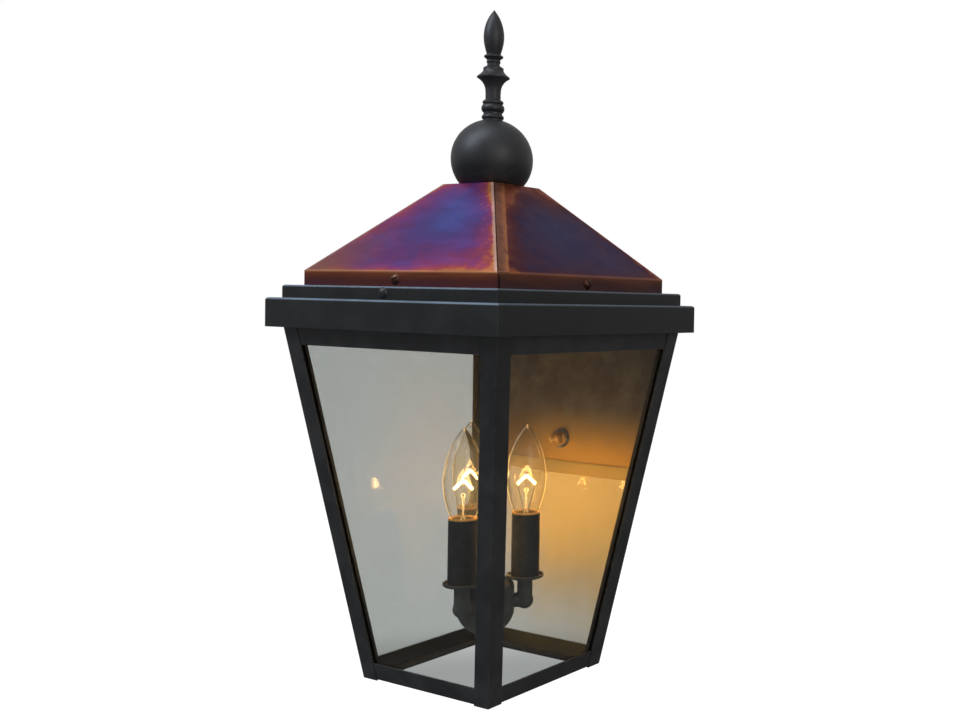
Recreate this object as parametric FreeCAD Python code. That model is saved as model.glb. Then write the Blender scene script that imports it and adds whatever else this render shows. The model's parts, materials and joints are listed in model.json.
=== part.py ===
import FreeCAD, Part
import math
import os

V = FreeCAD.Vector
AXIS = V(0, 0, 1)
TOWARDS_WALL = V(0, 1, 0)

# Millimetres. The lantern is drawn about its own upright axis, with the cornice's ledge at z = 0,
# the front towards -Y and the wall towards +Y. It is stored with its origin on the wall,
# in the middle of the crossbar that carries it.

# Clearance shared by pieces that slip into each other
fit_gap = 0.2

# Cornice and step, folded from sheet
cornice_width = 264.0
cornice_height = 25.0
step_set_in = 9.5
step_height = 11.0
band_sheet = 1.5
skirt_lip_height = 10.5

# Copper hood
hood_set_in = 12.5
skirt_height = 12.5
hood_rise = 79.4
hood_top_width = 58.4
hood_sheet = 1.0
lap_width = 13.0
lap_sheet = 0.7
slit_width = 1.2
slit_from_corner = 1.6

# Leaning body: posts with a groove for each pane, rails of L-angle
cornice_overhang = 10.5
body_foot_width = 146.2
body_height = 307.8
post_leg = 16.0
angle_thickness = 2.0
stop_thickness = 1.5
rail_height = 14.2
rail_flange = 14.0
rail_set_back = 0.8
foot_reveal = 1.0
top_rail_show = 15.0
top_rail_hidden = 10.0

# Panes and the back
glass_thickness = 3.0
pane_edge_room = 2.0
back_sheet = 1.2
back_bar_below_canopy = 7.0
back_bar_height = 12.0
back_bar_thickness = 1.5

# Domed slotted screws
screw_head_width = 9.5
screw_head_height = 2.8
screw_shank_width = 4.0
screw_length = 8.0
screw_slot = 1.2
hood_screw_rise = 6.0
step_screw_rise = 5.6

# Ball and spire
ball_width = 71.5
ball_centre_rise = 23.4
ball_wall = 1.5
spire_height = 97.8
spire_foot_width = 17.4
stud_width = 6.0
stud_in_spire = 24.0
stud_below_hood = 11.0
finial_nut_flats = 10.0
finial_nut_height = 5.0

# Members of the spire: widths, and heights above its foot
spire_ring_width = 19.4
spire_ring_rise = 3.0
spire_ring_height = 4.0
spire_groove_width = 16.4
spire_bead_width = 20.2
spire_bead_rise = 10.6
spire_bead_height = 7.4
spire_collar_width = 18.2
spire_collar_rise = 15.4
spire_collar_height = 1.4
spire_shaft_width = 13.3
spire_shaft_rise = 18.6
bell_neck_width = 16.8
bell_neck_rise = 32.0
bell_width = 28.4
bell_rise = 37.6
bell_edge = 1.0
bell_cap_width = 17.8
bell_cap_rise = 44.0
bell_cap_height = 2.4
spire_neck_width = 11.0
spire_neck_rise = 48.6
small_bead_width = 12.2
small_bead_rise = 52.0
small_bead_height = 3.2
disc_width = 16.8
disc_rise = 56.0
disc_edge = 0.9
flame_foot_width = 12.2
flame_rise = 58.6
flame_width = 17.9
flame_widest_rise = 73.0
flame_shoulder_width = 13.4
flame_shoulder_rise = 86.5

# Stem that carries the candles
stem_bar_width = 20.0
stem_bar_thickness = 3.0
stem_bar_bearing = 9.0
stem_width = 10.2
stem_bore = 6.8
stem_above_bar = 9.0
stem_into_cluster = 7.0
stem_nut_flats = 16.0
stem_nut_height = 5.0

# Candle cluster
cluster_width = 48.0
cluster_below_cup = 2.0
cluster_height = 50.4
cluster_shoulder = 8.0
cluster_bowl_depth = 19.5
cluster_wall = 1.5
candle_count = 3
candle_ring_radius = 33.4
candle_ring_turn = 8.0
arm_below_cluster_top = 20.0
arm_width = 13.0
arm_bore = 6.0
elbow_width = 15.6
arm_riser_width = 13.6
cup_width = 33.0
cup_floor_drop = 246.6
cup_thickness = 1.2
cup_lip = 1.8
cup_round_in = 0.5
cup_round_drop = 0.6
sleeve_width = 25.0
sleeve_wall = 1.2
sleeve_height = 58.5
socket_width = 20.0

# Lamp: clear torpedo glass on a small screw base
lamp_base_width = 11.9
lamp_base_length = 16.0
lamp_base_wall = 0.4
lamp_base_rise = 46.6
lamp_base_show = 2.0
lamp_insulator_height = 3.0
lamp_tip_width = 5.0
lamp_tip_height = 1.5
lamp_tip_shelf = 0.6
lamp_thread_gap = 0.3
lamp_glass_height = 90.5
lamp_glass_width = 34.6
lamp_widest_rise = 41.5
lamp_mouth_width = 21.6
lamp_mouth_rise = 12.2
lamp_shoulder_width = 22.2
lamp_shoulder_rise = 73.5
lamp_tip_glass_width = 7.0
lamp_glass_wall = 0.7
lamp_glass_in_base = 6.0
filament_rise = 45.5
filament_drop = 8.5
filament_spread = 16.0
filament_wire = 0.8
lead_wire = 0.7
stem_glass_width = 8.4
stem_glass_height = 18.0
stem_glass_waist_width = 4.6
stem_glass_waist_rise = 5.4
stem_glass_top_width = 3.8
lead_root_spread = 2.6
bead_rise = 31.0
bead_width = 3.6

# Wall side
wall_gap = 3.0
mount_drop = 131.0
canopy_width = 114.0
canopy_below_rail = 11.0
canopy_below_mount = 20.0
crossbar_length = 104.0
crossbar_width = 18.0
crossbar_thickness = 2.5
slot_spacing = 88.9
slot_width = 4.8
slot_length = 12.0
mount_stud_width = 6.0
mount_nut_flats = 10.0
mount_nut_height = 5.0
washer_width = 18.0
washer_least = 1.2
cap_collar_width = 14.0
cap_collar_height = 3.0
cap_ball_width = 11.4
cap_edge = 1.0

# Heights and places worked out from the sizes above
step_width = cornice_width - 2 * step_set_in
hood_width = step_width - 2 * hood_set_in
body_top_width = cornice_width - 2 * cornice_overhang
cluster_top_drop = cup_floor_drop + cluster_below_cup
arm_drop = cluster_top_drop + arm_below_cluster_top
lamp_base_drop = cup_floor_drop - lamp_base_rise
socket_height = lamp_base_rise - lamp_base_show
canopy_foot_drop = mount_drop + canopy_below_mount
back_bar_drop = canopy_foot_drop + back_bar_below_canopy
lean = (body_top_width - body_foot_width) / 2 / body_height
post_foot = -cornice_height - body_height
post_top = -band_sheet
bottom_rail_low = post_foot + foot_reveal
bottom_rail_high = bottom_rail_low + rail_height
top_rail_low = -cornice_height - top_rail_show
top_rail_high = -cornice_height + top_rail_hidden
pane_inset = rail_set_back + angle_thickness + fit_gap
pane_margin = pane_inset + glass_thickness + pane_edge_room
stop_inset = pane_inset + glass_thickness + fit_gap
pane_low = bottom_rail_low + angle_thickness
pane_high = top_rail_high - angle_thickness - fit_gap
skirt_low = step_height
skirt_high = skirt_low + skirt_height
hood_top = skirt_high + hood_rise
hood_half = hood_width / 2
skirt_lip_half = hood_half - hood_sheet - fit_gap
cornice_lip_half = step_width / 2 - band_sheet - fit_gap
wall_y = cornice_width / 2 + wall_gap
ball_centre = hood_top + ball_centre_rise
ball_radius = ball_width / 2
spire_foot = ball_centre + math.sqrt(ball_radius ** 2 - (spire_foot_width / 2) ** 2)
hole_room = fit_gap / 2
cup_underside = -cup_floor_drop - cup_thickness

SIDES = {"front": 0, "right": 90, "back": 180, "left": 270}
CORNERS = {"front_right": 0, "back_right": 90, "back_left": 180, "front_left": 270}


def turned(shape, degrees):
    copy = shape.copy()
    copy.rotate(V(0, 0, 0), AXIS, degrees)
    return copy


def revolved(edges):
    face = Part.Face(Part.Wire(edges))
    return face.revolve(V(0, 0, 0), AXIS, 360)


def polyline(points):
    vectors = [V(r, 0, z) for r, z in points]
    return [Part.LineSegment(a, b).toShape() for a, b in zip(vectors, vectors[1:])]


def arc(start, middle, end):
    return Part.Arc(*[V(r, 0, z) for r, z in (start, middle, end)]).toShape()


def cap_arc(radius, edge_z, crown_z):
    # Edge to crown of a spherical cap centred on the axis
    height = crown_z - edge_z
    sphere = (radius ** 2 + height ** 2) / (2 * abs(height))
    centre_z = crown_z - math.copysign(sphere, height)
    middle_r = radius * 0.6
    middle_z = centre_z + math.copysign(math.sqrt(sphere ** 2 - middle_r ** 2), height)
    return arc((radius, edge_z), (middle_r, middle_z), (0, crown_z))


def spline(points, first_tangent, last_tangent):
    curve = Part.BSplineCurve()
    tangents = [V(t[0], 0, t[1]) for t in (first_tangent, last_tangent)]
    curve.interpolate([V(r, 0, z) for r, z in points], InitialTangent=tangents[0], FinalTangent=tangents[1])
    return curve.toShape()


def cylinder(width, start, end):
    span = end.sub(start)
    return Part.makeCylinder(width / 2, span.Length, start, span)


def tube(width, bore, low, high):
    outer = cylinder(width, V(0, 0, low), V(0, 0, high))
    return outer.cut(cylinder(bore, V(0, 0, low), V(0, 0, high)))


def hex_nut(flats, bore, height):
    corner_radius = flats / math.sqrt(3)
    corners = [V(corner_radius, 0, 0)]
    for step in range(1, 7):
        angle = math.radians(60 * step)
        corners.append(V(corner_radius * math.cos(angle), corner_radius * math.sin(angle), 0))
    block = Part.Face(Part.makePolygon(corners)).extrude(V(0, 0, height))
    return block.cut(cylinder(bore, V(0, 0, 0), V(0, 0, height)))


def square_turn(section):
    # Solid of square plan from a closed outline of (half width, height) points
    corners = [(1, -1), (1, 1), (-1, 1), (-1, -1)]
    faces = []
    for (r0, z0), (r1, z1) in zip(section, section[1:] + section[:1]):
        if r0 == 0 and r1 == 0:
            continue
        for (ax, ay), (bx, by) in zip(corners, corners[1:] + corners[:1]):
            ring = [V(ax * r0, ay * r0, z0)]
            if r0 > 0:
                ring.append(V(bx * r0, by * r0, z0))
            ring.append(V(bx * r1, by * r1, z1))
            if r1 > 0:
                ring.append(V(ax * r1, ay * r1, z1))
            faces.append(Part.Face(Part.makePolygon(ring + ring[:1])))
    solid = Part.Solid(Part.Shell(faces))
    if solid.Volume < 0:
        solid.reverse()
    return solid.removeSplitter()


def half_width(z):
    # Half the body's width at a height, over the posts' outer faces
    return body_foot_width / 2 + (z - post_foot) * lean


def leaning_plate(low, high, side_margin, inset, thickness):
    # Plate that follows the lean of the front face, between two heights
    wires = []
    for z in (low, high):
        x = half_width(z) - side_margin
        outer = inset - half_width(z)
        inner = outer + thickness
        ring = [V(-x, outer, z), V(x, outer, z), V(x, inner, z), V(-x, inner, z)]
        wires.append(Part.makePolygon(ring + ring[:1]))
    return Part.makeLoft(wires, True, True)


def corner_post():
    # Outer angle and inner stop angle on one core, which leaves a groove for the pane on each side
    h = half_width(post_foot)
    leg = post_leg
    metal = angle_thickness
    core = pane_margin - pane_edge_room / 2
    stop_face = stop_inset + stop_thickness
    half_outline = [(leg, 0), (leg, metal), (core, metal)]
    half_outline += [(core, stop_inset), (leg, stop_inset), (leg, stop_face)]
    outline = [(0, 0)] + half_outline + [(stop_face, stop_face)]
    outline += [(across, along) for along, across in reversed(half_outline)]
    ring = [V(h - across, along - h, post_foot) for across, along in outline]
    spread = half_width(post_top) - h
    section = Part.Face(Part.makePolygon(ring + ring[:1]))
    return section.extrude(V(spread, -spread, post_top - post_foot))


def angle_rail(low, high, flange_low):
    leg = leaning_plate(low, high, post_leg, rail_set_back, angle_thickness)
    flange = leaning_plate(flange_low, flange_low + angle_thickness, post_leg, rail_set_back, rail_flange)
    return leg.fuse(flange).removeSplitter()


def cornice_band():
    outer = cornice_width / 2
    soffit_edge = half_width(-cornice_height + band_sheet) + fit_gap
    section = [
        (outer, -cornice_height),
        (outer, 0),
        (cornice_lip_half, 0),
        (cornice_lip_half, step_height - band_sheet - fit_gap),
        (cornice_lip_half - band_sheet, step_height - band_sheet - fit_gap),
        (cornice_lip_half - band_sheet, -band_sheet),
        (outer - band_sheet, -band_sheet),
        (outer - band_sheet, -cornice_height + band_sheet),
        (soffit_edge, -cornice_height + band_sheet),
        (soffit_edge, -cornice_height),
    ]
    return drilled(square_turn(section), step_screw_places())


def step_band():
    outer = step_width / 2
    section = [
        (outer, 0),
        (outer, step_height),
        (skirt_lip_half, step_height),
        (skirt_lip_half, step_height + skirt_lip_height),
        (skirt_lip_half - band_sheet, step_height + skirt_lip_height),
        (skirt_lip_half - band_sheet, step_height - band_sheet),
        (outer - band_sheet, step_height - band_sheet),
        (outer - band_sheet, 0),
    ]
    return drilled(square_turn(section), hood_screw_places() + step_screw_places())


def hood_half_at(z):
    share = (z - skirt_high) / hood_rise
    return hood_half + (hood_top_width / 2 - hood_half) * share


def hood_lap():
    # Flange of the front slope, folded round the hip and soldered on the right slope. The back slope
    # takes the same flange from each side slope
    wires = []
    for z in (skirt_high, hood_top):
        r = hood_half_at(z)
        outer = r + lap_sheet
        end = lap_width - r
        ring = [V(r, -r, z), V(outer, -r, z), V(outer, end, z), V(r, end, z)]
        wires.append(Part.makePolygon(ring + ring[:1]))
    return Part.makeLoft(wires, True, True)


def corner_slit():
    depth = 3 * hood_sheet
    start = V(hood_half - 2 * hood_sheet, slit_from_corner - hood_half, skirt_low - hood_sheet)
    return Part.makeBox(depth, slit_width, skirt_height - hood_sheet, start)


def roof_hood():
    top_half = hood_top_width / 2
    run = hood_half - top_half
    inside_top = hood_top - hood_sheet
    inside_half = hood_half - hood_sheet
    inside_fold = skirt_high - hood_sheet * math.tan(math.atan2(run, hood_rise) / 2)
    inside_top_half = top_half - hood_sheet * math.tan(math.atan2(hood_rise, run) / 2)
    section = [
        (hood_half, skirt_low),
        (hood_half, skirt_high),
        (top_half, hood_top),
        (0, hood_top),
        (0, inside_top),
        (inside_top_half, inside_top),
        (inside_half, inside_fold),
        (inside_half, skirt_low),
    ]
    shell = square_turn(section)
    mirror = V(1, 0, 0)
    for lap in (hood_lap(), turned(hood_lap(), 90)):
        shell = shell.fuse([lap, lap.mirror(V(0, 0, 0), mirror)])
    for slit in (corner_slit(), turned(corner_slit(), 90)):
        shell = shell.cut(slit).cut(slit.mirror(V(0, 0, 0), mirror))
    stud_hole = cylinder(stud_width + fit_gap, V(0, 0, inside_top), V(0, 0, hood_top))
    return drilled(shell.cut(stud_hole), hood_screw_places())


def hood_screw_places():
    return [(hood_half, skirt_low + hood_screw_rise, turn) for turn in SIDES.values()]


def step_screw_places():
    return [(step_width / 2, step_screw_rise, SIDES[side]) for side in ("front", "back")]


def drilled(shape, places):
    # Clearance holes for the domed screws
    for reach, z, turn in places:
        start = V(0, -reach - screw_length, z)
        hole = cylinder(screw_shank_width + fit_gap, start, V(0, screw_length - reach, z))
        shape = shape.cut(turned(hole, turn))
    return shape


def domed_screw():
    # Head towards +Z, seat at z = 0
    head_radius = screw_head_width / 2
    shank_radius = screw_shank_width / 2
    outline = polyline([(0, screw_head_height), (0, -screw_length), (shank_radius, -screw_length)])
    outline += polyline([(shank_radius, -screw_length), (shank_radius, 0), (head_radius, 0)])
    outline.append(cap_arc(head_radius, 0, screw_head_height))
    slot_start = V(-head_radius, -screw_slot / 2, screw_head_height - screw_slot)
    slot = Part.makeBox(screw_head_width, screw_slot, screw_slot, slot_start)
    return revolved(outline).cut(slot)


def cap_screws():
    screws = []
    for reach, z, turn in hood_screw_places() + step_screw_places():
        screw = domed_screw()
        screw.rotate(V(0, 0, 0), V(1, 0, 0), 90)
        screw.translate(V(0, -reach, z))
        screws.append(turned(screw, turn))
    return Part.makeCompound(screws)


def finial_ball():
    # Spun hollow ball, flat where it stands on the hood and where the spire stands on it
    inner_radius = ball_radius - ball_wall
    foot = math.sqrt(ball_radius ** 2 - ball_centre_rise ** 2)
    inner_low = hood_top + ball_wall
    inner_foot = math.sqrt(inner_radius ** 2 - (ball_centre - inner_low) ** 2)
    inner_high = spire_foot - ball_wall
    inner_neck = math.sqrt(inner_radius ** 2 - (inner_high - ball_centre) ** 2)
    bore = stud_width / 2 + hole_room
    outline = polyline([(bore, hood_top), (foot, hood_top)])
    outline.append(arc((foot, hood_top), (ball_radius, ball_centre), (spire_foot_width / 2, spire_foot)))
    outline += polyline([(spire_foot_width / 2, spire_foot), (bore, spire_foot), (bore, inner_high)])
    outline += polyline([(bore, inner_high), (inner_neck, inner_high)])
    outline.append(arc((inner_neck, inner_high), (inner_radius, ball_centre), (inner_foot, inner_low)))
    outline += polyline([(inner_foot, inner_low), (bore, inner_low), (bore, hood_top)])
    return revolved(outline)


def finial_spire():
    # Turned on the lathe: ring, bead, collar, shaft flaring into a bell, cap, small bead, disc and flame
    z = spire_foot
    foot = spire_foot_width / 2
    groove = spire_groove_width / 2
    neck = spire_neck_width / 2
    ring_low = z + spire_ring_rise - spire_ring_height / 2
    ring_high = ring_low + spire_ring_height
    bead_low = z + spire_bead_rise - spire_bead_height / 2
    bead_high = bead_low + spire_bead_height
    collar_low = (spire_collar_width / 2, z + spire_collar_rise)
    collar_high = (spire_collar_width / 2, z + spire_collar_rise + spire_collar_height)
    shaft = (spire_shaft_width / 2, z + spire_shaft_rise)
    bell_neck = (bell_neck_width / 2, z + bell_neck_rise)
    bell_low = (bell_width / 2, z + bell_rise)
    bell_high = (bell_width / 2, z + bell_rise + bell_edge)
    cap_low = (bell_cap_width / 2, z + bell_cap_rise)
    cap_high = (bell_cap_width / 2, z + bell_cap_rise + bell_cap_height)
    small_low = z + small_bead_rise - small_bead_height / 2
    small_high = small_low + small_bead_height
    disc_low = (disc_width / 2, z + disc_rise)
    disc_high = (disc_width / 2, z + disc_rise + disc_edge)
    flame_foot = (flame_foot_width / 2, z + flame_rise)
    flame_widest = (flame_width / 2, z + flame_widest_rise)
    flame_shoulder = (flame_shoulder_width / 2, z + flame_shoulder_rise)
    tip = (0, z + spire_height)
    outline = polyline([(0, z), (foot, z), (foot, ring_low)])
    outline.append(arc((foot, ring_low), (spire_ring_width / 2, z + spire_ring_rise), (groove, ring_high)))
    outline += polyline([(groove, ring_high), (groove, bead_low)])
    outline.append(arc((groove, bead_low), (spire_bead_width / 2, z + spire_bead_rise), (groove, bead_high)))
    outline += polyline([(groove, bead_high), collar_low, collar_high, shaft])
    outline.append(spline([shaft, bell_neck, bell_low], (0, 1), (1, 0.5)))
    outline += polyline([bell_low, bell_high])
    outline.append(spline([bell_high, cap_low], (-1, 0.75), (-0.5, 1)))
    outline += polyline([cap_low, cap_high, (neck, z + spire_neck_rise), (neck, small_low)])
    outline.append(arc((neck, small_low), (small_bead_width / 2, z + small_bead_rise), (neck, small_high)))
    outline += polyline([(neck, small_high), disc_low, disc_high, flame_foot])
    outline.append(spline([flame_foot, flame_widest, flame_shoulder, tip], (0.3, 1), (-0.8, 1)))
    outline += polyline([tip, (0, z)])
    bore = cylinder(stud_width + fit_gap, V(0, 0, z), V(0, 0, z + stud_in_spire + fit_gap))
    return revolved(outline).cut(bore)


def finial_stud():
    return cylinder(stud_width, V(0, 0, hood_top - stud_below_hood), V(0, 0, spire_foot + stud_in_spire))


def finial_nut():
    nut = hex_nut(finial_nut_flats, stud_width + fit_gap, finial_nut_height)
    return nut.translated(V(0, 0, hood_top - hood_sheet - finial_nut_height))


def pane(low, high):
    return leaning_plate(low, high, pane_margin, pane_inset, glass_thickness)


def back_bar():
    # H-section: the back plate stands in its upper groove, the back pane reaches into its lower one
    middle = -back_bar_drop
    low = middle - back_bar_height / 2
    high = middle + back_bar_height / 2
    groove = glass_thickness + 2 * fit_gap
    outer_inset = pane_inset - fit_gap - back_bar_thickness
    inner_inset = outer_inset + back_bar_thickness + groove
    depth = groove + 2 * back_bar_thickness
    outer = leaning_plate(low, high, post_leg, outer_inset, back_bar_thickness)
    inner = leaning_plate(low, high, post_leg, inner_inset, back_bar_thickness)
    web_low = middle - back_bar_thickness / 2
    web = leaning_plate(web_low, web_low + back_bar_thickness, post_leg, outer_inset, depth)
    return turned(outer.fuse([inner, web]).removeSplitter(), SIDES["back"])


def mount_line(start_y, end_y, width):
    return cylinder(width, V(0, start_y, -mount_drop), V(0, end_y, -mount_drop))


def back_plate():
    low = -back_bar_drop + back_bar_thickness / 2
    plate = turned(leaning_plate(low, pane_high, pane_margin, pane_inset, back_sheet), SIDES["back"])
    return plate.cut(mount_line(0, wall_y, mount_stud_width + fit_gap))


def wall_canopy():
    # Wedge pan, open to the wall, whose front lies flat on the leaning back plate
    foot = -canopy_foot_drop
    head = top_rail_low - canopy_below_rail

    def wedge(width, low, high, front_inset):
        ring = [V(-width / 2, wall_y, low), V(-width / 2, half_width(low) - front_inset, low)]
        ring += [V(-width / 2, half_width(high) - front_inset, high), V(-width / 2, wall_y, high)]
        return Part.Face(Part.makePolygon(ring + ring[:1])).extrude(V(width, 0, 0))

    outside = wedge(canopy_width, foot, head, pane_inset)
    room_low = foot + back_sheet
    room_high = head - back_sheet
    room = wedge(canopy_width - 2 * back_sheet, room_low, room_high, pane_inset - back_sheet)
    return outside.cut(room).cut(mount_line(0, wall_y, mount_stud_width + fit_gap))


def crossbar():
    # Flat strap with rounded ends and a slot for each outlet-box screw
    def stadium(length, width, depth):
        straight = (length - width) / 2
        bar = Part.makeBox(2 * straight, depth, width, V(-straight, wall_y - depth, -mount_drop - width / 2))
        for x in (-straight, straight):
            end = Part.makeCylinder(width / 2, depth, V(x, wall_y - depth, -mount_drop), TOWARDS_WALL)
            bar = bar.fuse(end)
        return bar.removeSplitter()

    bar = stadium(crossbar_length, crossbar_width, crossbar_thickness)
    slot = stadium(slot_length, slot_width, crossbar_thickness)
    for x in (-slot_spacing / 2, slot_spacing / 2):
        bar = bar.cut(slot.translated(V(x, 0, 0)))
    return bar.cut(mount_line(0, wall_y, mount_stud_width + fit_gap))


def plate_inside(z):
    return half_width(z) - pane_inset - back_sheet


def washer_face():
    return plate_inside(-mount_drop - washer_width / 2) - washer_least


def taper_washer():
    # Wedge that squares the leaning plate to the level stud
    blank = mount_line(washer_face(), wall_y, washer_width)
    low = -mount_drop - washer_width
    high = -mount_drop + washer_width
    x = washer_width
    ring = [V(-x, 0, low), V(-x, plate_inside(low), low), V(-x, plate_inside(high), high), V(-x, 0, high)]
    inside = Part.Face(Part.makePolygon(ring + ring[:1])).extrude(V(2 * x, 0, 0))
    return blank.common(inside).cut(mount_line(0, wall_y, mount_stud_width + fit_gap))


def cap_nut():
    # Collar and ball, with a blind bore for the stud; drawn upright, then laid towards the room
    collar = cap_collar_width / 2
    neck = cap_ball_width / 2 - cap_edge
    shoulder = cap_collar_height - cap_edge
    neck_top = cap_collar_height + cap_edge
    ball = cap_ball_width / 2
    ball_middle = neck_top + math.sqrt(ball ** 2 - neck ** 2)
    crown = ball_middle + ball
    chamfer = (collar - cap_edge, cap_collar_height)
    outline = polyline([(0, crown), (0, 0), (collar, 0), (collar, shoulder), chamfer])
    outline += polyline([chamfer, (neck, cap_collar_height), (neck, neck_top)])
    outline.append(arc((neck, neck_top), (ball, ball_middle), (0, crown)))
    bore = cylinder(mount_stud_width + fit_gap, V(0, 0, 0), V(0, 0, ball_middle + fit_gap))
    nut = revolved(outline).cut(bore)
    nut.rotate(V(0, 0, 0), V(1, 0, 0), 90)
    return nut.translated(V(0, washer_face(), -mount_drop))


def mounting_stud():
    reach = washer_face() - cap_collar_height - cap_ball_width / 4
    return mount_line(reach, wall_y, mount_stud_width)


def stud_nut():
    nut = hex_nut(mount_nut_flats, mount_stud_width + fit_gap, mount_nut_height)
    nut.rotate(V(0, 0, 0), V(1, 0, 0), 90)
    return nut.translated(V(0, wall_y - crossbar_thickness, -mount_drop))


def stem_bar():
    reach = half_width(top_rail_high) - rail_set_back - rail_flange + stem_bar_bearing
    start = V(-reach, -stem_bar_width / 2, top_rail_high)
    bar = Part.makeBox(2 * reach, stem_bar_width, stem_bar_thickness, start)
    bar_top = V(0, 0, top_rail_high + stem_bar_thickness)
    hole = cylinder(stem_width + fit_gap, V(0, 0, top_rail_high), bar_top)
    return bar.cut(hole)


def stem():
    low = -cluster_top_drop - stem_into_cluster
    return tube(stem_width, stem_bore, low, top_rail_high + stem_bar_thickness + stem_above_bar)


def stem_nuts():
    nut = hex_nut(stem_nut_flats, stem_width + fit_gap, stem_nut_height)
    above = nut.translated(V(0, 0, top_rail_high + stem_bar_thickness))
    below = nut.translated(V(0, 0, top_rail_high - stem_nut_height))
    return Part.makeCompound([above, below])


def cluster_shape(width, top, bottom, shoulder, bowl_depth):
    radius = width / 2
    eighth = 1 - math.sqrt(0.5)
    belly = bottom + bowl_depth
    shoulder_middle = (radius - shoulder * eighth, top - shoulder * eighth)
    outline = polyline([(0, bottom), (0, top), (radius - shoulder, top)])
    outline.append(arc((radius - shoulder, top), shoulder_middle, (radius, top - shoulder)))
    outline += polyline([(radius, top - shoulder), (radius, belly)])
    outline.append(cap_arc(radius, belly, bottom))
    return revolved(outline)


def candle_turn(index):
    return SIDES["front"] + candle_ring_turn + index * 360 / candle_count


def at_candle(shape, index):
    # Pieces of a candle are drawn on the lantern's axis and carried out to their place
    return turned(shape.translated(V(0, -candle_ring_radius, 0)), candle_turn(index))


def cluster_body():
    top = -cluster_top_drop
    bottom = top - cluster_height
    wall = cluster_wall
    body = cluster_shape(cluster_width, top, bottom, cluster_shoulder, cluster_bowl_depth)
    room_width = cluster_width - 2 * wall
    room_shoulder = cluster_shoulder - wall
    room = cluster_shape(room_width, top - wall, bottom + wall, room_shoulder, cluster_bowl_depth - wall / 2)
    body = body.cut(room)
    body = body.cut(cylinder(stem_width + fit_gap, V(0, 0, top - 2 * wall), V(0, 0, top)))
    for index in range(candle_count):
        hole = cylinder(arm_width + fit_gap, V(0, 0, -arm_drop), V(0, -cluster_width, -arm_drop))
        body = body.cut(turned(hole, candle_turn(index)))
    return body


def candle_arm():
    # Short arm, ball elbow and riser in one casting, bored for the wires
    inner_end = candle_ring_radius - cluster_width / 2 + 2 * cluster_wall
    elbow = V(0, 0, -arm_drop)
    inside = V(0, inner_end, -arm_drop)
    riser_top = V(0, 0, cup_underside)
    casting = Part.makeSphere(elbow_width / 2, elbow)
    casting = casting.fuse([cylinder(arm_width, elbow, inside), cylinder(arm_riser_width, elbow, riser_top)])
    return casting.cut([cylinder(arm_bore, elbow, inside), cylinder(arm_bore, elbow, riser_top)])


def candle_cup():
    floor = -cup_floor_drop
    rim = cup_width / 2
    inner = rim - cup_thickness
    bore = arm_bore / 2
    lip_top = floor + cup_lip
    outline = polyline([(bore, cup_underside), (rim - cup_lip, cup_underside)])
    middle = (rim - cup_round_in, floor - cup_round_drop)
    outline.append(arc((rim - cup_lip, cup_underside), middle, (rim, floor + cup_lip / 2)))
    outline += polyline([(rim, floor + cup_lip / 2), (rim, lip_top), (inner, lip_top)])
    outline += polyline([(inner, lip_top), (inner, floor + cup_lip / 2), (inner - cup_lip / 2, floor)])
    outline += polyline([(inner - cup_lip / 2, floor), (bore, floor), (bore, cup_underside)])
    return revolved(outline)


def candle_sleeve():
    floor = -cup_floor_drop
    return tube(sleeve_width, sleeve_width - 2 * sleeve_wall, floor, floor + sleeve_height)


def lamp_base_low():
    return -lamp_base_drop - lamp_base_length


def lamp_contact_low():
    return lamp_base_low() - lamp_insulator_height - lamp_tip_height


def lamp_socket():
    floor = -cup_floor_drop
    top = floor + socket_height
    bore = lamp_base_width + 2 * lamp_thread_gap
    shell = cylinder(socket_width, V(0, 0, floor), V(0, 0, top))
    thread = cylinder(bore, V(0, 0, lamp_contact_low() - lamp_thread_gap), V(0, 0, top))
    wires = cylinder(arm_bore, V(0, 0, floor), V(0, 0, floor + arm_riser_width))
    return shell.cut([thread, wires])


def lamp_outline(inset):
    # Torpedo outline from the neck to the tip, set in by the glass wall for the inside
    low = -lamp_base_drop
    neck = lamp_base_width / 2 - lamp_base_wall - fit_gap / 2
    points = [
        (neck - inset, low),
        (lamp_mouth_width / 2 - inset, low + lamp_mouth_rise),
        (lamp_glass_width / 2 - inset, low + lamp_widest_rise),
        (lamp_shoulder_width / 2 - inset, low + lamp_shoulder_rise),
        (lamp_tip_glass_width / 2 - inset, low + lamp_glass_height - lamp_tip_glass_width / 2 - inset),
    ]
    tip = (0, low + lamp_glass_height - inset)
    return points, spline(points, (0.45, 1), (-0.75, 1)), tip


def lamp_glass():
    # Blown bulb, open at the neck
    bottom = -lamp_base_drop - lamp_glass_in_base
    outside, outer_curve, outer_tip = lamp_outline(0)
    inside, inner_curve, inner_tip = lamp_outline(lamp_glass_wall)
    outline = polyline([(inside[0][0], bottom), (outside[0][0], bottom), outside[0]])
    outline += [outer_curve]
    outline += polyline([outside[-1], outer_tip, inner_tip, inside[-1]])
    outline += [inner_curve]
    outline += polyline([inside[0], (inside[0][0], bottom)])
    return revolved(outline)


def lamp_base():
    # Drawn brass shell, cemented round the neck
    low = lamp_base_low()
    shell = tube(lamp_base_width, lamp_base_width - 2 * lamp_base_wall, low, -lamp_base_drop)
    floor = tube(lamp_base_width, lamp_tip_width, low, low + lamp_base_wall)
    return shell.fuse(floor).removeSplitter()


def lamp_tip():
    # Insulator cone and centre contact
    low = lamp_base_low()
    cone_low = low - lamp_insulator_height
    contact = lamp_tip_width / 2
    wide = lamp_base_width / 2 - lamp_base_wall
    outline = polyline([(0, low), (wide, low), (contact + lamp_tip_shelf, cone_low), (contact, cone_low)])
    outline.append(cap_arc(contact, cone_low, lamp_contact_low()))
    outline += polyline([(0, lamp_contact_low()), (0, low)])
    return revolved(outline)


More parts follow.
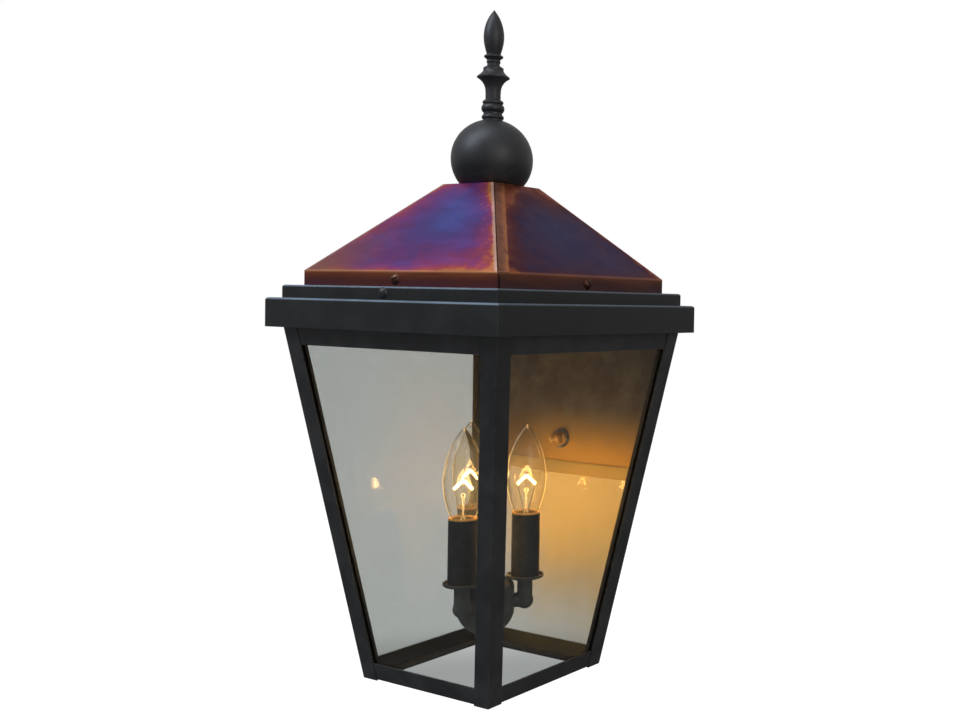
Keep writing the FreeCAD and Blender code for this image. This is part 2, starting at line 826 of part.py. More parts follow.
def lamp_mount():
    # Glass stem with its bead, two lead wires and the tent-shaped filament
    neck = -lamp_base_drop - lamp_glass_in_base
    top = neck + stem_glass_height
    bead = V(0, 0, -lamp_base_drop + bead_rise)
    radius = stem_glass_width / 2
    outline = polyline([(0, neck), (radius, neck)])
    waist = (stem_glass_waist_width / 2, neck + stem_glass_waist_rise)
    outline.append(arc((radius, neck), waist, (stem_glass_top_width / 2, top)))
    outline += polyline([(stem_glass_top_width / 2, top), (0, top), (0, neck)])
    pinch = V(0, 0, top - lead_wire)
    peak = V(0, 0, -lamp_base_drop + filament_rise)
    pieces = [Part.makeSphere(bead_width / 2, bead), cylinder(lead_wire, bead, peak)]
    pieces.append(cylinder(2 * lead_wire, pinch, bead))
    for side in (-1, 1):
        foot = V(side * filament_spread / 2, 0, peak.z - filament_drop)
        root = V(side * lead_root_spread / 2, 0, top - lead_wire)
        pieces += [cylinder(lead_wire, root, foot), cylinder(filament_wire, foot, peak)]
    return revolved(outline).fuse(pieces)


def save(name, shape):
    # Moves a piece from the lantern's axis to the origin on the wall
    placed = shape.translated(V(0, -wall_y, mount_drop))
    if not placed.isValid():
        print("not valid:", name)
    placed.exportStep(os.path.join("parts", name + ".step"))


def main():
    os.makedirs("parts", exist_ok=True)
    for corner, turn in CORNERS.items():
        save("corner_post_" + corner, turned(corner_post(), turn))
    for side, turn in SIDES.items():
        top_rail = angle_rail(top_rail_low, top_rail_high, top_rail_high - angle_thickness)
        bottom_rail = angle_rail(bottom_rail_low, bottom_rail_high, bottom_rail_low)
        save("top_rail_" + side, turned(top_rail, turn))
        save("bottom_rail_" + side, turned(bottom_rail, turn))
        glass_high = pane_high
        if side == "back":
            glass_high = -back_bar_drop - back_bar_thickness / 2
        save("glass_" + side, turned(pane(pane_low, glass_high), turn))
    single_pieces = {
        "cornice_band": cornice_band,
        "step_band": step_band,
        "roof_hood": roof_hood,
        "cap_screws": cap_screws,
        "finial_ball": finial_ball,
        "finial_spire": finial_spire,
        "finial_stud": finial_stud,
        "finial_nut": finial_nut,
        "back_plate": back_plate,
        "back_bar": back_bar,
        "wall_canopy": wall_canopy,
        "crossbar": crossbar,
        "mounting_stud": mounting_stud,
        "stud_nut": stud_nut,
        "taper_washer": taper_washer,
        "cap_nut": cap_nut,
        "stem_bar": stem_bar,
        "stem": stem,
        "stem_nuts": stem_nuts,
        "cluster_body": cluster_body,
    }
    for name, make in single_pieces.items():
        save(name, make())
    candle_pieces = {
        "candle_arm": candle_arm,
        "candle_cup": candle_cup,
        "candle_sleeve": candle_sleeve,
        "lamp_socket": lamp_socket,
        "lamp_glass": lamp_glass,
        "lamp_base": lamp_base,
        "lamp_mount": lamp_mount,
        "lamp_tip": lamp_tip,
    }
    for name, make in candle_pieces.items():
        piece = make()
        for index in range(candle_count):
            save(name + "_" + str(index + 1), at_candle(piece, index))


main()
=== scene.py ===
import json
import math

import bmesh
import bpy
from mathutils import Matrix, Vector

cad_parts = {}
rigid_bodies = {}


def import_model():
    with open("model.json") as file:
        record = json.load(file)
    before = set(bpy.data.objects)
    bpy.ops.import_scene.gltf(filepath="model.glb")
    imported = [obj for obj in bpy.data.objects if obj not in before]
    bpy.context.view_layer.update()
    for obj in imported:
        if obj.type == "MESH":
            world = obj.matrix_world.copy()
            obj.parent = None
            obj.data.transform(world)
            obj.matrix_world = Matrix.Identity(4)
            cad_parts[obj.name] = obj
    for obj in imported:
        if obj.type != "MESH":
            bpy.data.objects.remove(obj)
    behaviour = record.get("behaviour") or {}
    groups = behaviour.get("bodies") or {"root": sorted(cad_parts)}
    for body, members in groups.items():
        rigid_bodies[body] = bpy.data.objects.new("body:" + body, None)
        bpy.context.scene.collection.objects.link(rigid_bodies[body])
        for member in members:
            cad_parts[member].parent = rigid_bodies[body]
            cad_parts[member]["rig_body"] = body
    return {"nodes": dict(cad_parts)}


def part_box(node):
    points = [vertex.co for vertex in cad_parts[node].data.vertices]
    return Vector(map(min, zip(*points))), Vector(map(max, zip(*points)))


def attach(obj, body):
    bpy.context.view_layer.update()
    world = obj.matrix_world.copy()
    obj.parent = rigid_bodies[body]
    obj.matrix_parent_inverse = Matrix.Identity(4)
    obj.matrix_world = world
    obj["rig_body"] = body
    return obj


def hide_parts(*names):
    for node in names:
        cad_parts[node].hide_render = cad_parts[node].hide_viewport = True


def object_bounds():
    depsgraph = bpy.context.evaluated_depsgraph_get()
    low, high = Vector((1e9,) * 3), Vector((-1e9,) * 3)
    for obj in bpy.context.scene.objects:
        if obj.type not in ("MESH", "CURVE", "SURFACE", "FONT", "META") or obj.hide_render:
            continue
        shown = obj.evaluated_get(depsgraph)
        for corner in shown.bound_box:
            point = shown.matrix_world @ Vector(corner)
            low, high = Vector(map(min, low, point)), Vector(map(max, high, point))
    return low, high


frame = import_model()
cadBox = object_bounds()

scene = bpy.context.scene
nodes = frame["nodes"]
mm = 0.001
axisY = sum(corner.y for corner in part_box("finial_ball")) / 2  # the lantern's axis stands off the wall
lampNumbers = (1, 2, 3)
finishes = {}  # materials by name
noLight = [0, 0, 0, 1]
print("frame:", len(nodes), "nodes")


# colours are noted as 0-255 display values and used as linear light
def tone(red, green, blue):
    channels = [value / 255 for value in (red, green, blue)]
    return [c / 12.92 if c < 0.04045 else ((c + 0.055) / 1.055) ** 2.4 for c in channels] + [1.0]


# keywords stand for socket names, with an underscore for each space
def spaced(values):
    return {key.replace("_", " "): value for key, value in values.items()}


def addNode(tree, kind, values=None, **settings):
    made = tree.nodes.new(kind)
    for name, value in settings.items():
        setattr(made, name, value)
    for key, value in (values or {}).items():
        if isinstance(value, bpy.types.NodeSocket):
            tree.links.new(value, made.inputs[key])
        else:
            made.inputs[key].default_value = value
    return made


def calc(tree, operation, first, second=0.0, clamp=False):
    values = {0: first, 1: second}
    return addNode(tree, "ShaderNodeMath", values, operation=operation, use_clamp=clamp).outputs[0]


def plus(tree, first, second, clamp=False):
    return calc(tree, "ADD", first, second, clamp)


def minus(tree, first, second, clamp=False):
    return calc(tree, "SUBTRACT", first, second, clamp)


def times(tree, first, second, clamp=False):
    return calc(tree, "MULTIPLY", first, second, clamp)


def magnitude(tree, value):
    return calc(tree, "ABSOLUTE", value)


def weighted(tree, *pairs):
    total = times(tree, *pairs[0])
    for pair in pairs[1:]:
        total = plus(tree, total, times(tree, *pair))
    return total


def axesOf(tree, vector):
    return addNode(tree, "ShaderNodeSeparateXYZ", {0: vector}).outputs


def triple(tree, **axes):
    return addNode(tree, "ShaderNodeCombineXYZ", axes).outputs[0]


def lengthOf(tree, vector):
    return addNode(tree, "ShaderNodeVectorMath", {0: vector}, operation="LENGTH").outputs["Value"]


def noise(tree, place, scale, detail=4.0, rough=0.55, twist=0.0):
    values = {"Vector": place, "Scale": scale, "Detail": detail, "Roughness": rough, "Distortion": twist}
    return addNode(tree, "ShaderNodeTexNoise", values).outputs["Fac"]


def fade(tree, value, low, high, toLow=0.0, toHigh=1.0):
    values = {"Value": value, "From Min": low, "From Max": high, "To Min": toLow, "To Max": toHigh}
    return addNode(tree, "ShaderNodeMapRange", values, interpolation_type="SMOOTHSTEP").outputs["Result"]


# noise stretched to run from -1 to 1
def swing(tree, value):
    return fade(tree, value, 0.25, 0.75, -1.0, 1.0)


def mixTone(tree, factor, first, second):
    return addNode(tree, "ShaderNodeMix", {0: factor, 6: first, 7: second}, data_type="RGBA").outputs[2]


def mixShader(tree, factor, first, second):
    return addNode(tree, "ShaderNodeMixShader", {0: factor, 1: first, 2: second}).outputs[0]


def ramp(tree, factor, stops):
    made = addNode(tree, "ShaderNodeValToRGB", {0: factor})
    stopList = made.color_ramp.elements
    stopList[0].position, stopList[0].color = stops[0]
    stopList[1].position, stopList[1].color = stops[-1]
    for place, colour in stops[1:-1]:
        stopList.new(place).color = colour
    return made.outputs["Color"]


def objectPlace(tree, offset=(0, 0, 0), turn=(0, 0, 0), stretch=(1, 1, 1)):
    place = addNode(tree, "ShaderNodeTexCoord").outputs["Object"]
    values = {"Vector": place, "Location": offset, "Rotation": turn, "Scale": stretch}
    return addNode(tree, "ShaderNodeMapping", values).outputs["Vector"]


# place as seen from the lantern's axis
def axisPlace(tree):
    return objectPlace(tree, offset=(0, -axisY, 0))


def levelOf(tree):
    return axesOf(tree, objectPlace(tree))["Z"]


# 1 on faces that look up, 0 on upright ones
def lookingUp(tree):
    return axesOf(tree, addNode(tree, "ShaderNodeTexCoord").outputs["Normal"])["Z"]


def bump(tree, height, depth, strength):
    values = {"Height": height, "Distance": depth, "Strength": strength}
    return addNode(tree, "ShaderNodeBump", values).outputs["Normal"]


def newMaterial(name, **constants):
    material = bpy.data.materials.new(name)
    material.use_nodes = True
    tree = material.node_tree
    tree.nodes.clear()
    output = addNode(tree, "ShaderNodeOutputMaterial")
    shader = addNode(tree, "ShaderNodeBsdfPrincipled", spaced(constants))
    tree.links.new(shader.outputs[0], output.inputs["Surface"])
    finishes[name] = material
    return tree, shader, output


def connect(tree, shader, **sockets):
    for name, socket in spaced(sockets).items():
        tree.links.new(socket, shader.inputs[name])


def shaderGroup(name, inputs, outputs):
    tree = bpy.data.node_groups.new(name, "ShaderNodeTree")
    for label, default in inputs.items():
        socket = tree.interface.new_socket(label, in_out="INPUT", socket_type="NodeSocketFloat")
        socket.default_value = default
    for label in outputs:
        tree.interface.new_socket(label, in_out="OUTPUT", socket_type="NodeSocketFloat")
    return tree, tree.nodes.new("NodeGroupInput").outputs, tree.nodes.new("NodeGroupOutput").inputs


def useGroup(tree, group, **values):
    return addNode(tree, "ShaderNodeGroup", spaced(values), node_tree=group).outputs


# metal rubbed bare along its arrises
def makeEdgeWear():
    inputs = {"Width": 0.6 * mm, "Amount": 1.0, "Scale": 160.0}
    tree, given, result = shaderGroup("edgeWear", inputs, ["Mask"])
    rounded = addNode(tree, "ShaderNodeBevel", {"Radius": given["Width"]}, samples=6).outputs["Normal"]
    plain = addNode(tree, "ShaderNodeNewGeometry").outputs["Normal"]
    values = {0: rounded, 1: plain}
    match = addNode(tree, "ShaderNodeVectorMath", values, operation="DOT_PRODUCT").outputs["Value"]
    edge = fade(tree, match, 0.995, 0.86)
    patches = fade(tree, noise(tree, objectPlace(tree), given["Scale"], 5.0, 0.6), 0.38, 0.66)
    worn = times(tree, edge, times(tree, patches, given["Amount"]), True)
    tree.links.new(worn, result["Mask"])
    return tree


# broad cloudiness and fine grain of a sprayed or waxed finish
def makeMottle():
    inputs = {"Scale": 40.0, "Grain Scale": 1500.0}
    tree, given, result = shaderGroup("mottle", inputs, ["Tone", "Grain"])
    place = objectPlace(tree)
    cloud = noise(tree, place, given["Scale"], 6.0, 0.6, 0.4)
    tree.links.new(fade(tree, cloud, 0.32, 0.68), result["Tone"])
    tree.links.new(noise(tree, place, given["Grain Scale"], 3.0, 0.6), result["Grain"])
    return tree


# dust that settles on faces that look up, which also lightens their tops as painted top light
def makeTopDustAndLight():
    tree, given, result = shaderGroup("topDustAndLight", {"Amount": 0.5, "Scale": 70.0}, ["Mask"])
    speckle = fade(tree, noise(tree, objectPlace(tree), given["Scale"], 7.0, 0.7), 0.35, 0.7)
    lying = times(tree, fade(tree, lookingUp(tree), 0.6, 0.98), speckle)
    tree.links.new(times(tree, lying, given["Amount"], True), result["Mask"])
    return tree


edgeWear = makeEdgeWear()
mottle = makeMottle()
topDustAndLight = makeTopDustAndLight()


# clouded colour, sheen and grain that most finishes begin with
def mottledBody(name, finish):
    tree, shader, _ = newMaterial(name, Metallic=finish["metallic"], Specular_IOR_Level=finish["shine"])
    cloud = useGroup(tree, mottle, Scale=finish["cloudScale"], Grain_Scale=finish["grainScale"])
    body = mixTone(tree, cloud["Tone"], finish["deep"], finish["pale"])
    sheen = fade(tree, cloud["Tone"], 0.0, 1.0, *finish["rough"])
    grain = bump(tree, cloud["Grain"], *finish["grain"])
    connect(tree, shader, Base_Color=body, Roughness=sheen, Normal=grain)
    return tree, shader, cloud["Tone"], body


# sprayed black metal: posts and rails, bands, finial, candles
blackFinish = {
    "deep": tone(35, 35, 36), "pale": tone(45, 45, 46), "metallic": 0.0, "shine": 0.3, "rough": (0.34, 0.48),
    "bareAndSheen": tone(118, 122, 126), "wear": 0.8, "wearWidth": 0.7 * mm,
    "dustAndTopLight": tone(96, 98, 98), "dustAndTopLightAmount": 0.14,
    "cloudScale": 34.0, "grainScale": 1700.0, "grain": (0.03 * mm, 0.5),
}
# cornice and step bands: darker black paint, with a painted highlight on the round of their upper folds,
# weaker on the sides
bandFinish = dict(
    blackFinish, deep=tone(24, 24, 25), pale=tone(31, 32, 33), shine=0.26,
    foldHighlightTone=tone(108, 122, 138), sideFoldHighlight=0.4)
finialFinish = dict(
    blackFinish, deep=tone(27, 27, 29), pale=tone(36, 36, 38), shine=0.42,
    rough=(0.40, 0.50), dustAndTopLightAmount=0.1)
# candle arms, cups and cluster: a paler copy of the black paint that stands in for the lamps' light on them;
# their worn edges take a bright orange tone, partly bare metal and partly a painted highlight of the lamps
litCandleFinish = dict(
    blackFinish, deep=tone(84, 83, 81), pale=tone(102, 100, 96), shine=0.35,
    bareAndSheen=tone(246, 184, 104), wear=1.0, dustAndTopLightAmount=0.06, cloudScale=80.0)


def makeBlackMetal(name, finish):
    tree, shader, cloud, paint = mottledBody(name, finish)
    worn = useGroup(tree, edgeWear, Width=finish["wearWidth"], Amount=finish["wear"])["Mask"]
    dustAndTopLight = useGroup(tree, topDustAndLight, Amount=finish["dustAndTopLightAmount"])["Mask"]
    paint = mixTone(tree, worn, paint, finish["bareAndSheen"])
    # faces that look up are paler: settled dust, and painted light falling on their tops
    paint = mixTone(tree, dustAndTopLight, paint, finish["dustAndTopLight"])
    if "foldHighlightTone" in finish:  # a painted highlight on the round of the folds, weaker on the sides
        foldHighlight = fade(tree, lookingUp(tree), 0.15, 0.6)
        foldHighlight = times(tree, foldHighlight, fade(tree, cloud, 0.0, 1.0, 0.75, 1.0))
        axes = axesOf(tree, axisPlace(tree))
        onSide = calc(tree, "GREATER_THAN", magnitude(tree, axes["X"]), magnitude(tree, axes["Y"]))
        foldHighlight = times(tree, foldHighlight, fade(tree, onSide, 0.0, 1.0, 1.0, finish["sideFoldHighlight"]))
        paint = mixTone(tree, foldHighlight, paint, finish["foldHighlightTone"])
    connect(tree, shader, Base_Color=paint, Metallic=worn)


# hood: copper coloured with a torch, from bare orange at the cool edges to blue in the hot middle
hoodFinish = {
    "frontStops": [
        (0.0, tone(196, 118, 74)), (0.08, tone(178, 84, 70)), (0.19, tone(160, 68, 94)),
        (0.36, tone(136, 62, 116)), (0.56, tone(108, 62, 126)), (0.76, tone(90, 70, 140)),
        (1.0, tone(76, 80, 150)),
    ],
    "sideStops": [
        (0.0, tone(146, 78, 48)), (0.14, tone(104, 44, 38)), (0.30, tone(86, 32, 42)),
        (0.52, tone(68, 32, 58)), (0.76, tone(57, 42, 78)), (1.0, tone(54, 50, 90)),
    ],
    "skirtStops": [
        (0.0, tone(140, 80, 54)), (0.3, tone(116, 66, 52)),
        (0.65, tone(98, 56, 52)), (1.0, tone(90, 54, 64)),
    ],
    "lapStops": [(0.0, tone(114, 74, 62)), (0.5, tone(158, 102, 74)), (1.0, tone(202, 124, 74))],
    "ridgeHighlight": tone(216, 174, 158), "skirtFoldHighlight": tone(200, 138, 98), "smut": tone(44, 32, 34),
    "corner": tone(132, 86, 80), "fleck": tone(222, 134, 62), "sideSkirt": tone(66, 54, 52),
    "mirrorTint": tone(243, 236, 239), "rough": (0.30, 0.44), "skirtHeight": 12.5 * mm,
    "frontHot": (0.22, 0.56), "frontSpread": (0.58, 1.0), "sideHot": (0.12, 0.46), "sideSpread": (0.5, 0.8),
}
hoodLow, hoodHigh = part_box("roof_hood")
hoodFold = hoodLow.z + hoodFinish["skirtHeight"]


# where a point lies on the hood, and how the torch wandered there
def hoodField(tree):
    place = axisPlace(tree)
    axes = axesOf(tree, place)
    across = magnitude(tree, axes["X"])
    along = magnitude(tree, axes["Y"])
    hip = magnitude(tree, minus(tree, across, along))  # distance from the hip, level with it
    rise = minus(tree, axes["Z"], hoodFold)
    brushed = objectPlace(tree, turn=(0.0, 0.6, 0.0), stretch=(16, 30, 70))
    broad = swing(tree, noise(tree, place, 21.0, 3.0, 0.5, 0.9))
    strokes = swing(tree, noise(tree, brushed, 1.0, 5.0, 0.55, 0.5))
    licks = swing(tree, noise(tree, place, 105.0, 4.0, 0.56, 1.1))
    ragged = weighted(tree, (licks, 0.8 * mm), (broad, 2.6 * mm))
    raggedRise = plus(tree, rise, times(tree, ragged, 0.4))
    return {
        "place": place, "hip": hip, "rise": rise, "strokes": strokes, "licks": licks, "ragged": ragged,
        "up": calc(tree, "DIVIDE", rise, hoodHigh.z - hoodFold),  # 0 at the fold, 1 at the top
        "frontAcross": calc(tree, "DIVIDE", axes["X"], along),  # -1 and 1 at the hips
        "sideAcross": calc(tree, "DIVIDE", axes["Y"], across),
        "onSide": calc(tree, "GREATER_THAN", across, along),
        "wander": weighted(tree, (broad, 0.12), (strokes, 0.09), (licks, 0.05)),
        "raggedHip": plus(tree, hip, ragged),
        "coolFold": fade(tree, raggedRise, 7 * mm, -1 * mm),
    }


# heat falls off from the place where the torch stayed longest
def hotSpot(tree, across, up, middle, spread):
    sideways = times(tree, minus(tree, across, middle[0]), spread[0])
    upwards = times(tree, minus(tree, up, middle[1]), spread[1])
    squares = plus(tree, times(tree, sideways, sideways), times(tree, upwards, upwards))
    return minus(tree, 1.06, calc(tree, "SQRT", squares))


# front and back slopes, with a painted highlight along the hips, strongest on the right hip
def frontSlope(tree, finish, field):
    hip, up, across = field["hip"], field["up"], field["frontAcross"]
    coolHip = fade(tree, field["raggedHip"], 30 * mm, 2 * mm, 0.0, 0.5)
    coolHip = plus(tree, coolHip, fade(tree, field["raggedHip"], 9 * mm, 1 * mm, 0.0, 0.5))
    hipCare = fade(tree, across, -0.6, 0.6, 0.12, 0.46)  # the torch was kept off the right hip more
    heatAndGlow = hotSpot(tree, across, up, finish["frontHot"], finish["frontSpread"])
    heatAndGlow = plus(tree, heatAndGlow, field["wander"])
    heatAndGlow = minus(tree, heatAndGlow, times(tree, coolHip, hipCare))
    heatAndGlow = minus(tree, heatAndGlow, fade(tree, up, 0.78, 1.0, 0.0, 0.22))
    redFoot = fade(tree, plus(tree, field["rise"], field["ragged"]), 30 * mm, 0.0)
    redFoot = times(tree, redFoot, fade(tree, across, -0.3, 0.7, 0.04, 0.20))  # most on the right
    heatAndGlow = minus(tree, heatAndGlow, redFoot)
    heatAndGlow = minus(tree, heatAndGlow, times(tree, field["coolFold"], 0.24), True)
    sheet = ramp(tree, heatAndGlow, finish["frontStops"])
    farCorner = times(tree, fade(tree, across, -0.15, -1.0), fade(tree, up, 0.62, 0.0, 0.0, 0.95))
    farCorner = plus(tree, farCorner, times(tree, field["strokes"], 0.08), True)
    sheet = mixTone(tree, farCorner, sheet, finish["corner"])
    flecks = fade(tree, noise(tree, field["place"], 150.0, 5.0, 0.6, 1.4), 0.54, 0.66, 0.0, 0.7)
    flecks = times(tree, flecks, fade(tree, hip, 22 * mm, 4 * mm))
    flecks = times(tree, flecks, fade(tree, across, 0.1, 0.5))
    sheet = mixTone(tree, flecks, sheet, finish["fleck"])
    # painted highlight: pale copper along the rounded hip, stronger towards the right hip
    paintedHipHighlight = plus(tree, hip, times(tree, field["licks"], 0.6 * mm))
    paintedHipHighlight = fade(tree, paintedHipHighlight, 4.2 * mm, 1.6 * mm, 0.0, 0.8)
    paintedHipHighlight = times(tree, paintedHipHighlight, fade(tree, across, -0.5, 0.5, 0.25, 1.0))
    return mixTone(tree, paintedHipHighlight, sheet, finish["ridgeHighlight"])


# side slopes, darker, with the soldered laps
def sideSlope(tree, finish, field):
    place, hip, up, across = field["place"], field["hip"], field["up"], field["sideAcross"]
    lapHip = fade(tree, across, 0.0, -0.2)  # the sides are lapped at their front hips only
    heatAndGlow = hotSpot(tree, across, up, finish["sideHot"], finish["sideSpread"])
    heatAndGlow = plus(tree, heatAndGlow, field["wander"])
    coolLap = fade(tree, field["raggedHip"], 40 * mm, 12 * mm, 0.0, 0.4)
    heatAndGlow = minus(tree, heatAndGlow, times(tree, coolLap, lapHip))
    heatAndGlow = minus(tree, heatAndGlow, fade(tree, field["raggedHip"], 9 * mm, 1 * mm, 0.0, 0.5))
    heatAndGlow = minus(tree, heatAndGlow, fade(tree, up, 0.6, 1.0, 0.0, 0.5))
    heatAndGlow = minus(tree, heatAndGlow, times(tree, field["coolFold"], 0.26), True)
    sheet = ramp(tree, heatAndGlow, finish["sideStops"])
    lapTone = noise(tree, place, 95.0, 5.0, 0.6, 0.8)
    lapTone = plus(tree, lapTone, fade(tree, hip, 5 * mm, 13 * mm, -0.22, 0.3))
    lap = ramp(tree, lapTone, finish["lapStops"])
    smudges = fade(tree, noise(tree, place, 70.0, 4.0, 0.6, 0.6), 0.52, 0.7, 0.0, 0.5)
    lap = mixTone(tree, smudges, lap, finish["smut"])
    lapEdge = plus(tree, hip, times(tree, field["licks"], 0.5 * mm))
    onLap = times(tree, fade(tree, lapEdge, 14.0 * mm, 12.4 * mm), lapHip)
    sheet = mixTone(tree, onLap, sheet, lap)
    seam = times(tree, fade(tree, hip, 1.9 * mm, 1.0 * mm, 0.0, 0.85), lapHip)
    return mixTone(tree, seam, sheet, finish["smut"])


def makeFlameCopper(name, finish):
    tree, shader, _ = newMaterial(name, Metallic=1.0, Specular_Tint=finish["mirrorTint"])
    field = hoodField(tree)
    place, rise, onSide = field["place"], field["rise"], field["onSide"]
    slope = mixTone(tree, onSide, frontSlope(tree, finish, field), sideSlope(tree, finish, field))
    bands = noise(tree, objectPlace(tree, stretch=(9, 9, 60)), 1.0, 3.0, 0.5, 0.4)
    bands = fade(tree, bands, 0.25, 0.75, -0.35, 0.35)
    skirt = plus(tree, fade(tree, rise, 0.0, -11 * mm, 0.05, 0.85), bands, True)
    skirt = ramp(tree, skirt, finish["skirtStops"])
    skirt = mixTone(tree, times(tree, onSide, 0.55), skirt, finish["sideSkirt"])
    sheet = mixTone(tree, fade(tree, rise, -0.2 * mm, -0.9 * mm), slope, skirt)
    # painted highlight along the skirt's fold, weaker on the side slopes
    skirtFoldHighlight = fade(tree, magnitude(tree, rise), 1.6 * mm, 0.3 * mm, 0.0, 0.7)
    skirtFoldHighlight = times(tree, skirtFoldHighlight, fade(tree, onSide, 0.0, 1.0, 1.0, 0.45))
    sheet = mixTone(tree, skirtFoldHighlight, sheet, finish["skirtFoldHighlight"])
    speck = fade(tree, noise(tree, place, 300.0, 5.0, 0.7), 0.67, 0.77, 0.0, 0.4)
    sheet = mixTone(tree, speck, sheet, finish["smut"])
    sheen = fade(tree, field["strokes"], -1.0, 1.0, *finish["rough"])
    dents = bump(tree, noise(tree, place, 26.0, 2.0, 0.4), 0.5 * mm, 0.3)
    connect(tree, shader, Base_Color=sheet, Roughness=sheen, Normal=dents)


# back plate and bar: waxed bronze with a painted pool of the lamps' light, warm and pale, growing towards
# the plate's foot
bronzeFinish = {
    "deep": tone(79, 75, 74), "pale": tone(105, 100, 99), "spot": tone(54, 49, 46),
    "lampGlowTone": tone(222, 170, 92), "glowFull": 2 * mm, "glowReach": 64 * mm, "glowRagged": 5 * mm,
    "glowSideShare": 0.3, "glowSideRange": (-60 * mm, 5 * mm), "metallic": 0.5, "shine": 0.3, "rough": (0.36, 0.50),
    "cloudScale": 26.0, "grainScale": 900.0, "grain": (0.012 * mm, 0.4),
}
barFinish = dict(bronzeFinish, lampGlowTone=tone(206, 174, 110), glowSideShare=1.0)
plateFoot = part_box("back_plate")[0].z


def makeBronzeSheet(name, finish):
    tree, shader, cloud, sheet = mottledBody(name, finish)
    spots = fade(tree, noise(tree, objectPlace(tree), 140.0, 6.0, 0.7), 0.55, 0.75, 0.0, 0.6)
    sheet = mixTone(tree, spots, sheet, finish["spot"])
    axes = axesOf(tree, objectPlace(tree))
    # painted light: the lamps' glow painted into the bronze, fading up from the foot and weaker on the left
    level = plus(tree, axes["Z"], times(tree, cloud, finish["glowRagged"]))
    heatAndGlow = fade(tree, level, plateFoot + finish["glowReach"], plateFoot + finish["glowFull"])
    heatAndGlow = times(tree, heatAndGlow, fade(tree, axes["X"], *finish["glowSideRange"], finish["glowSideShare"], 1.0))
    connect(tree, shader, Base_Color=mixTone(tree, heatAndGlow, sheet, finish["lampGlowTone"]))


# turned metal and moulded parts
turnedFinish = {
    "metallic": 1.0, "shine": 0.5, "rough": (0.4, 0.3),
    "cloudScale": 120.0, "grainScale": 2400.0, "grain": (0.02 * mm, 0.4),
}
mouldedFinish = dict(
    turnedFinish, metallic=0.0, shine=0.4, rough=(0.38, 0.52), cloudScale=90.0, grainScale=2600.0)
smallFinishes = {
    "lead_wire": dict(turnedFinish, deep=tone(160, 150, 138), pale=tone(206, 198, 186)),
    "aged_brass": dict(turnedFinish, deep=tone(150, 112, 72), pale=tone(226, 182, 116), metallic=0.55),
    "brass": dict(turnedFinish, deep=tone(168, 128, 74), pale=tone(214, 174, 110), rough=(0.36, 0.26)),
    "screw_copper": dict(
        turnedFinish, deep=tone(62, 44, 40), pale=tone(110, 74, 58), rough=(0.52, 0.42), cloudScale=300.0),
    "steel": dict(turnedFinish, deep=tone(132, 134, 138), pale=tone(176, 178, 180), rough=(0.44, 0.34)),
    "phenolic": dict(mouldedFinish, deep=tone(30, 26, 24), pale=tone(46, 40, 36)),
    "contact_glass": dict(mouldedFinish, deep=tone(24, 24, 30), pale=tone(40, 40, 48)),
}

# candle sleeves: black tubes in a paler copy that stands in for the lamps' light, with a bright orange band
# along the rim, worn bare there and painted as the lamps' highlight
litSleeveFinish = {
    "deep": tone(53, 52, 51), "pale": tone(66, 64, 62), "metallic": 0.0, "shine": 0.3, "rough": (0.34, 0.48),
    "bareAndSheen": tone(246, 184, 104), "bareAndLitRim": (1.5 * mm, 1.0 * mm),
    "cloudScale": 80.0, "grainScale": 1700.0, "grain": (0.03 * mm, 0.5),
}
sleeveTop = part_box("candle_sleeve_1")[1].z


def makeSleeve(name, finish):
    tree, shader, _, tube = mottledBody(name, finish)
    ragged = plus(tree, levelOf(tree), times(tree, noise(tree, objectPlace(tree), 400.0), 0.5 * mm))
    # the rim band: worn bare, and painted bright orange as the lamps' highlight on it
    bareAndSheen = fade(tree, ragged, *[sleeveTop - drop for drop in finish["bareAndLitRim"]])
    connect(tree, shader, Base_Color=mixTone(tree, bareAndSheen, tube, finish["bareAndSheen"]))


# panes: grey float glass with a film on its inner face that carries a painted glow of the lamps' light:
# amber, thickest beside the lamps, and faintly emitting there
paneFinish = {
    "tint": tone(206, 209, 207), "tintPale": tone(208, 211, 209), "glowTint": tone(198, 168, 118),
    "glowFilm": tone(248, 212, 98), "glowFilmShade": tone(240, 200, 86), "filmRough": 0.9,
    "glowRange": (30 * mm, 190 * mm), "glowShare": (0.006, 0.21), "paintedGlowStrength": 0.035,
}
# the glow film's share near its middle and far from it, and where that middle lies from the filaments
paneGlowFilms = {
    "front_pane": {"near": 0.0, "far": 0.0, "middle": Vector((0, 0, 0))},
    "side_pane": {"near": 0.03, "far": 0.006, "middle": Vector((-70 * mm, 100 * mm, 95 * mm))},
    "back_pane": {"near": 0.21, "far": 0.03, "middle": Vector((48 * mm, 85 * mm, -8 * mm))},
}
filamentDrop = 12 * mm
glowCentre = Vector((0, axisY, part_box("lamp_mount_1")[1].z - filamentDrop))


# shadow rays pass the glass, so that the lamps light what is behind it
def letLampsThrough(tree, output, surface, tint):
    path = addNode(tree, "ShaderNodeLightPath").outputs["Is Shadow Ray"]
    clear = addNode(tree, "ShaderNodeBsdfTransparent", {"Color": tint}).outputs[0]
    tree.links.new(mixShader(tree, path, surface, clear), output.inputs["Surface"])


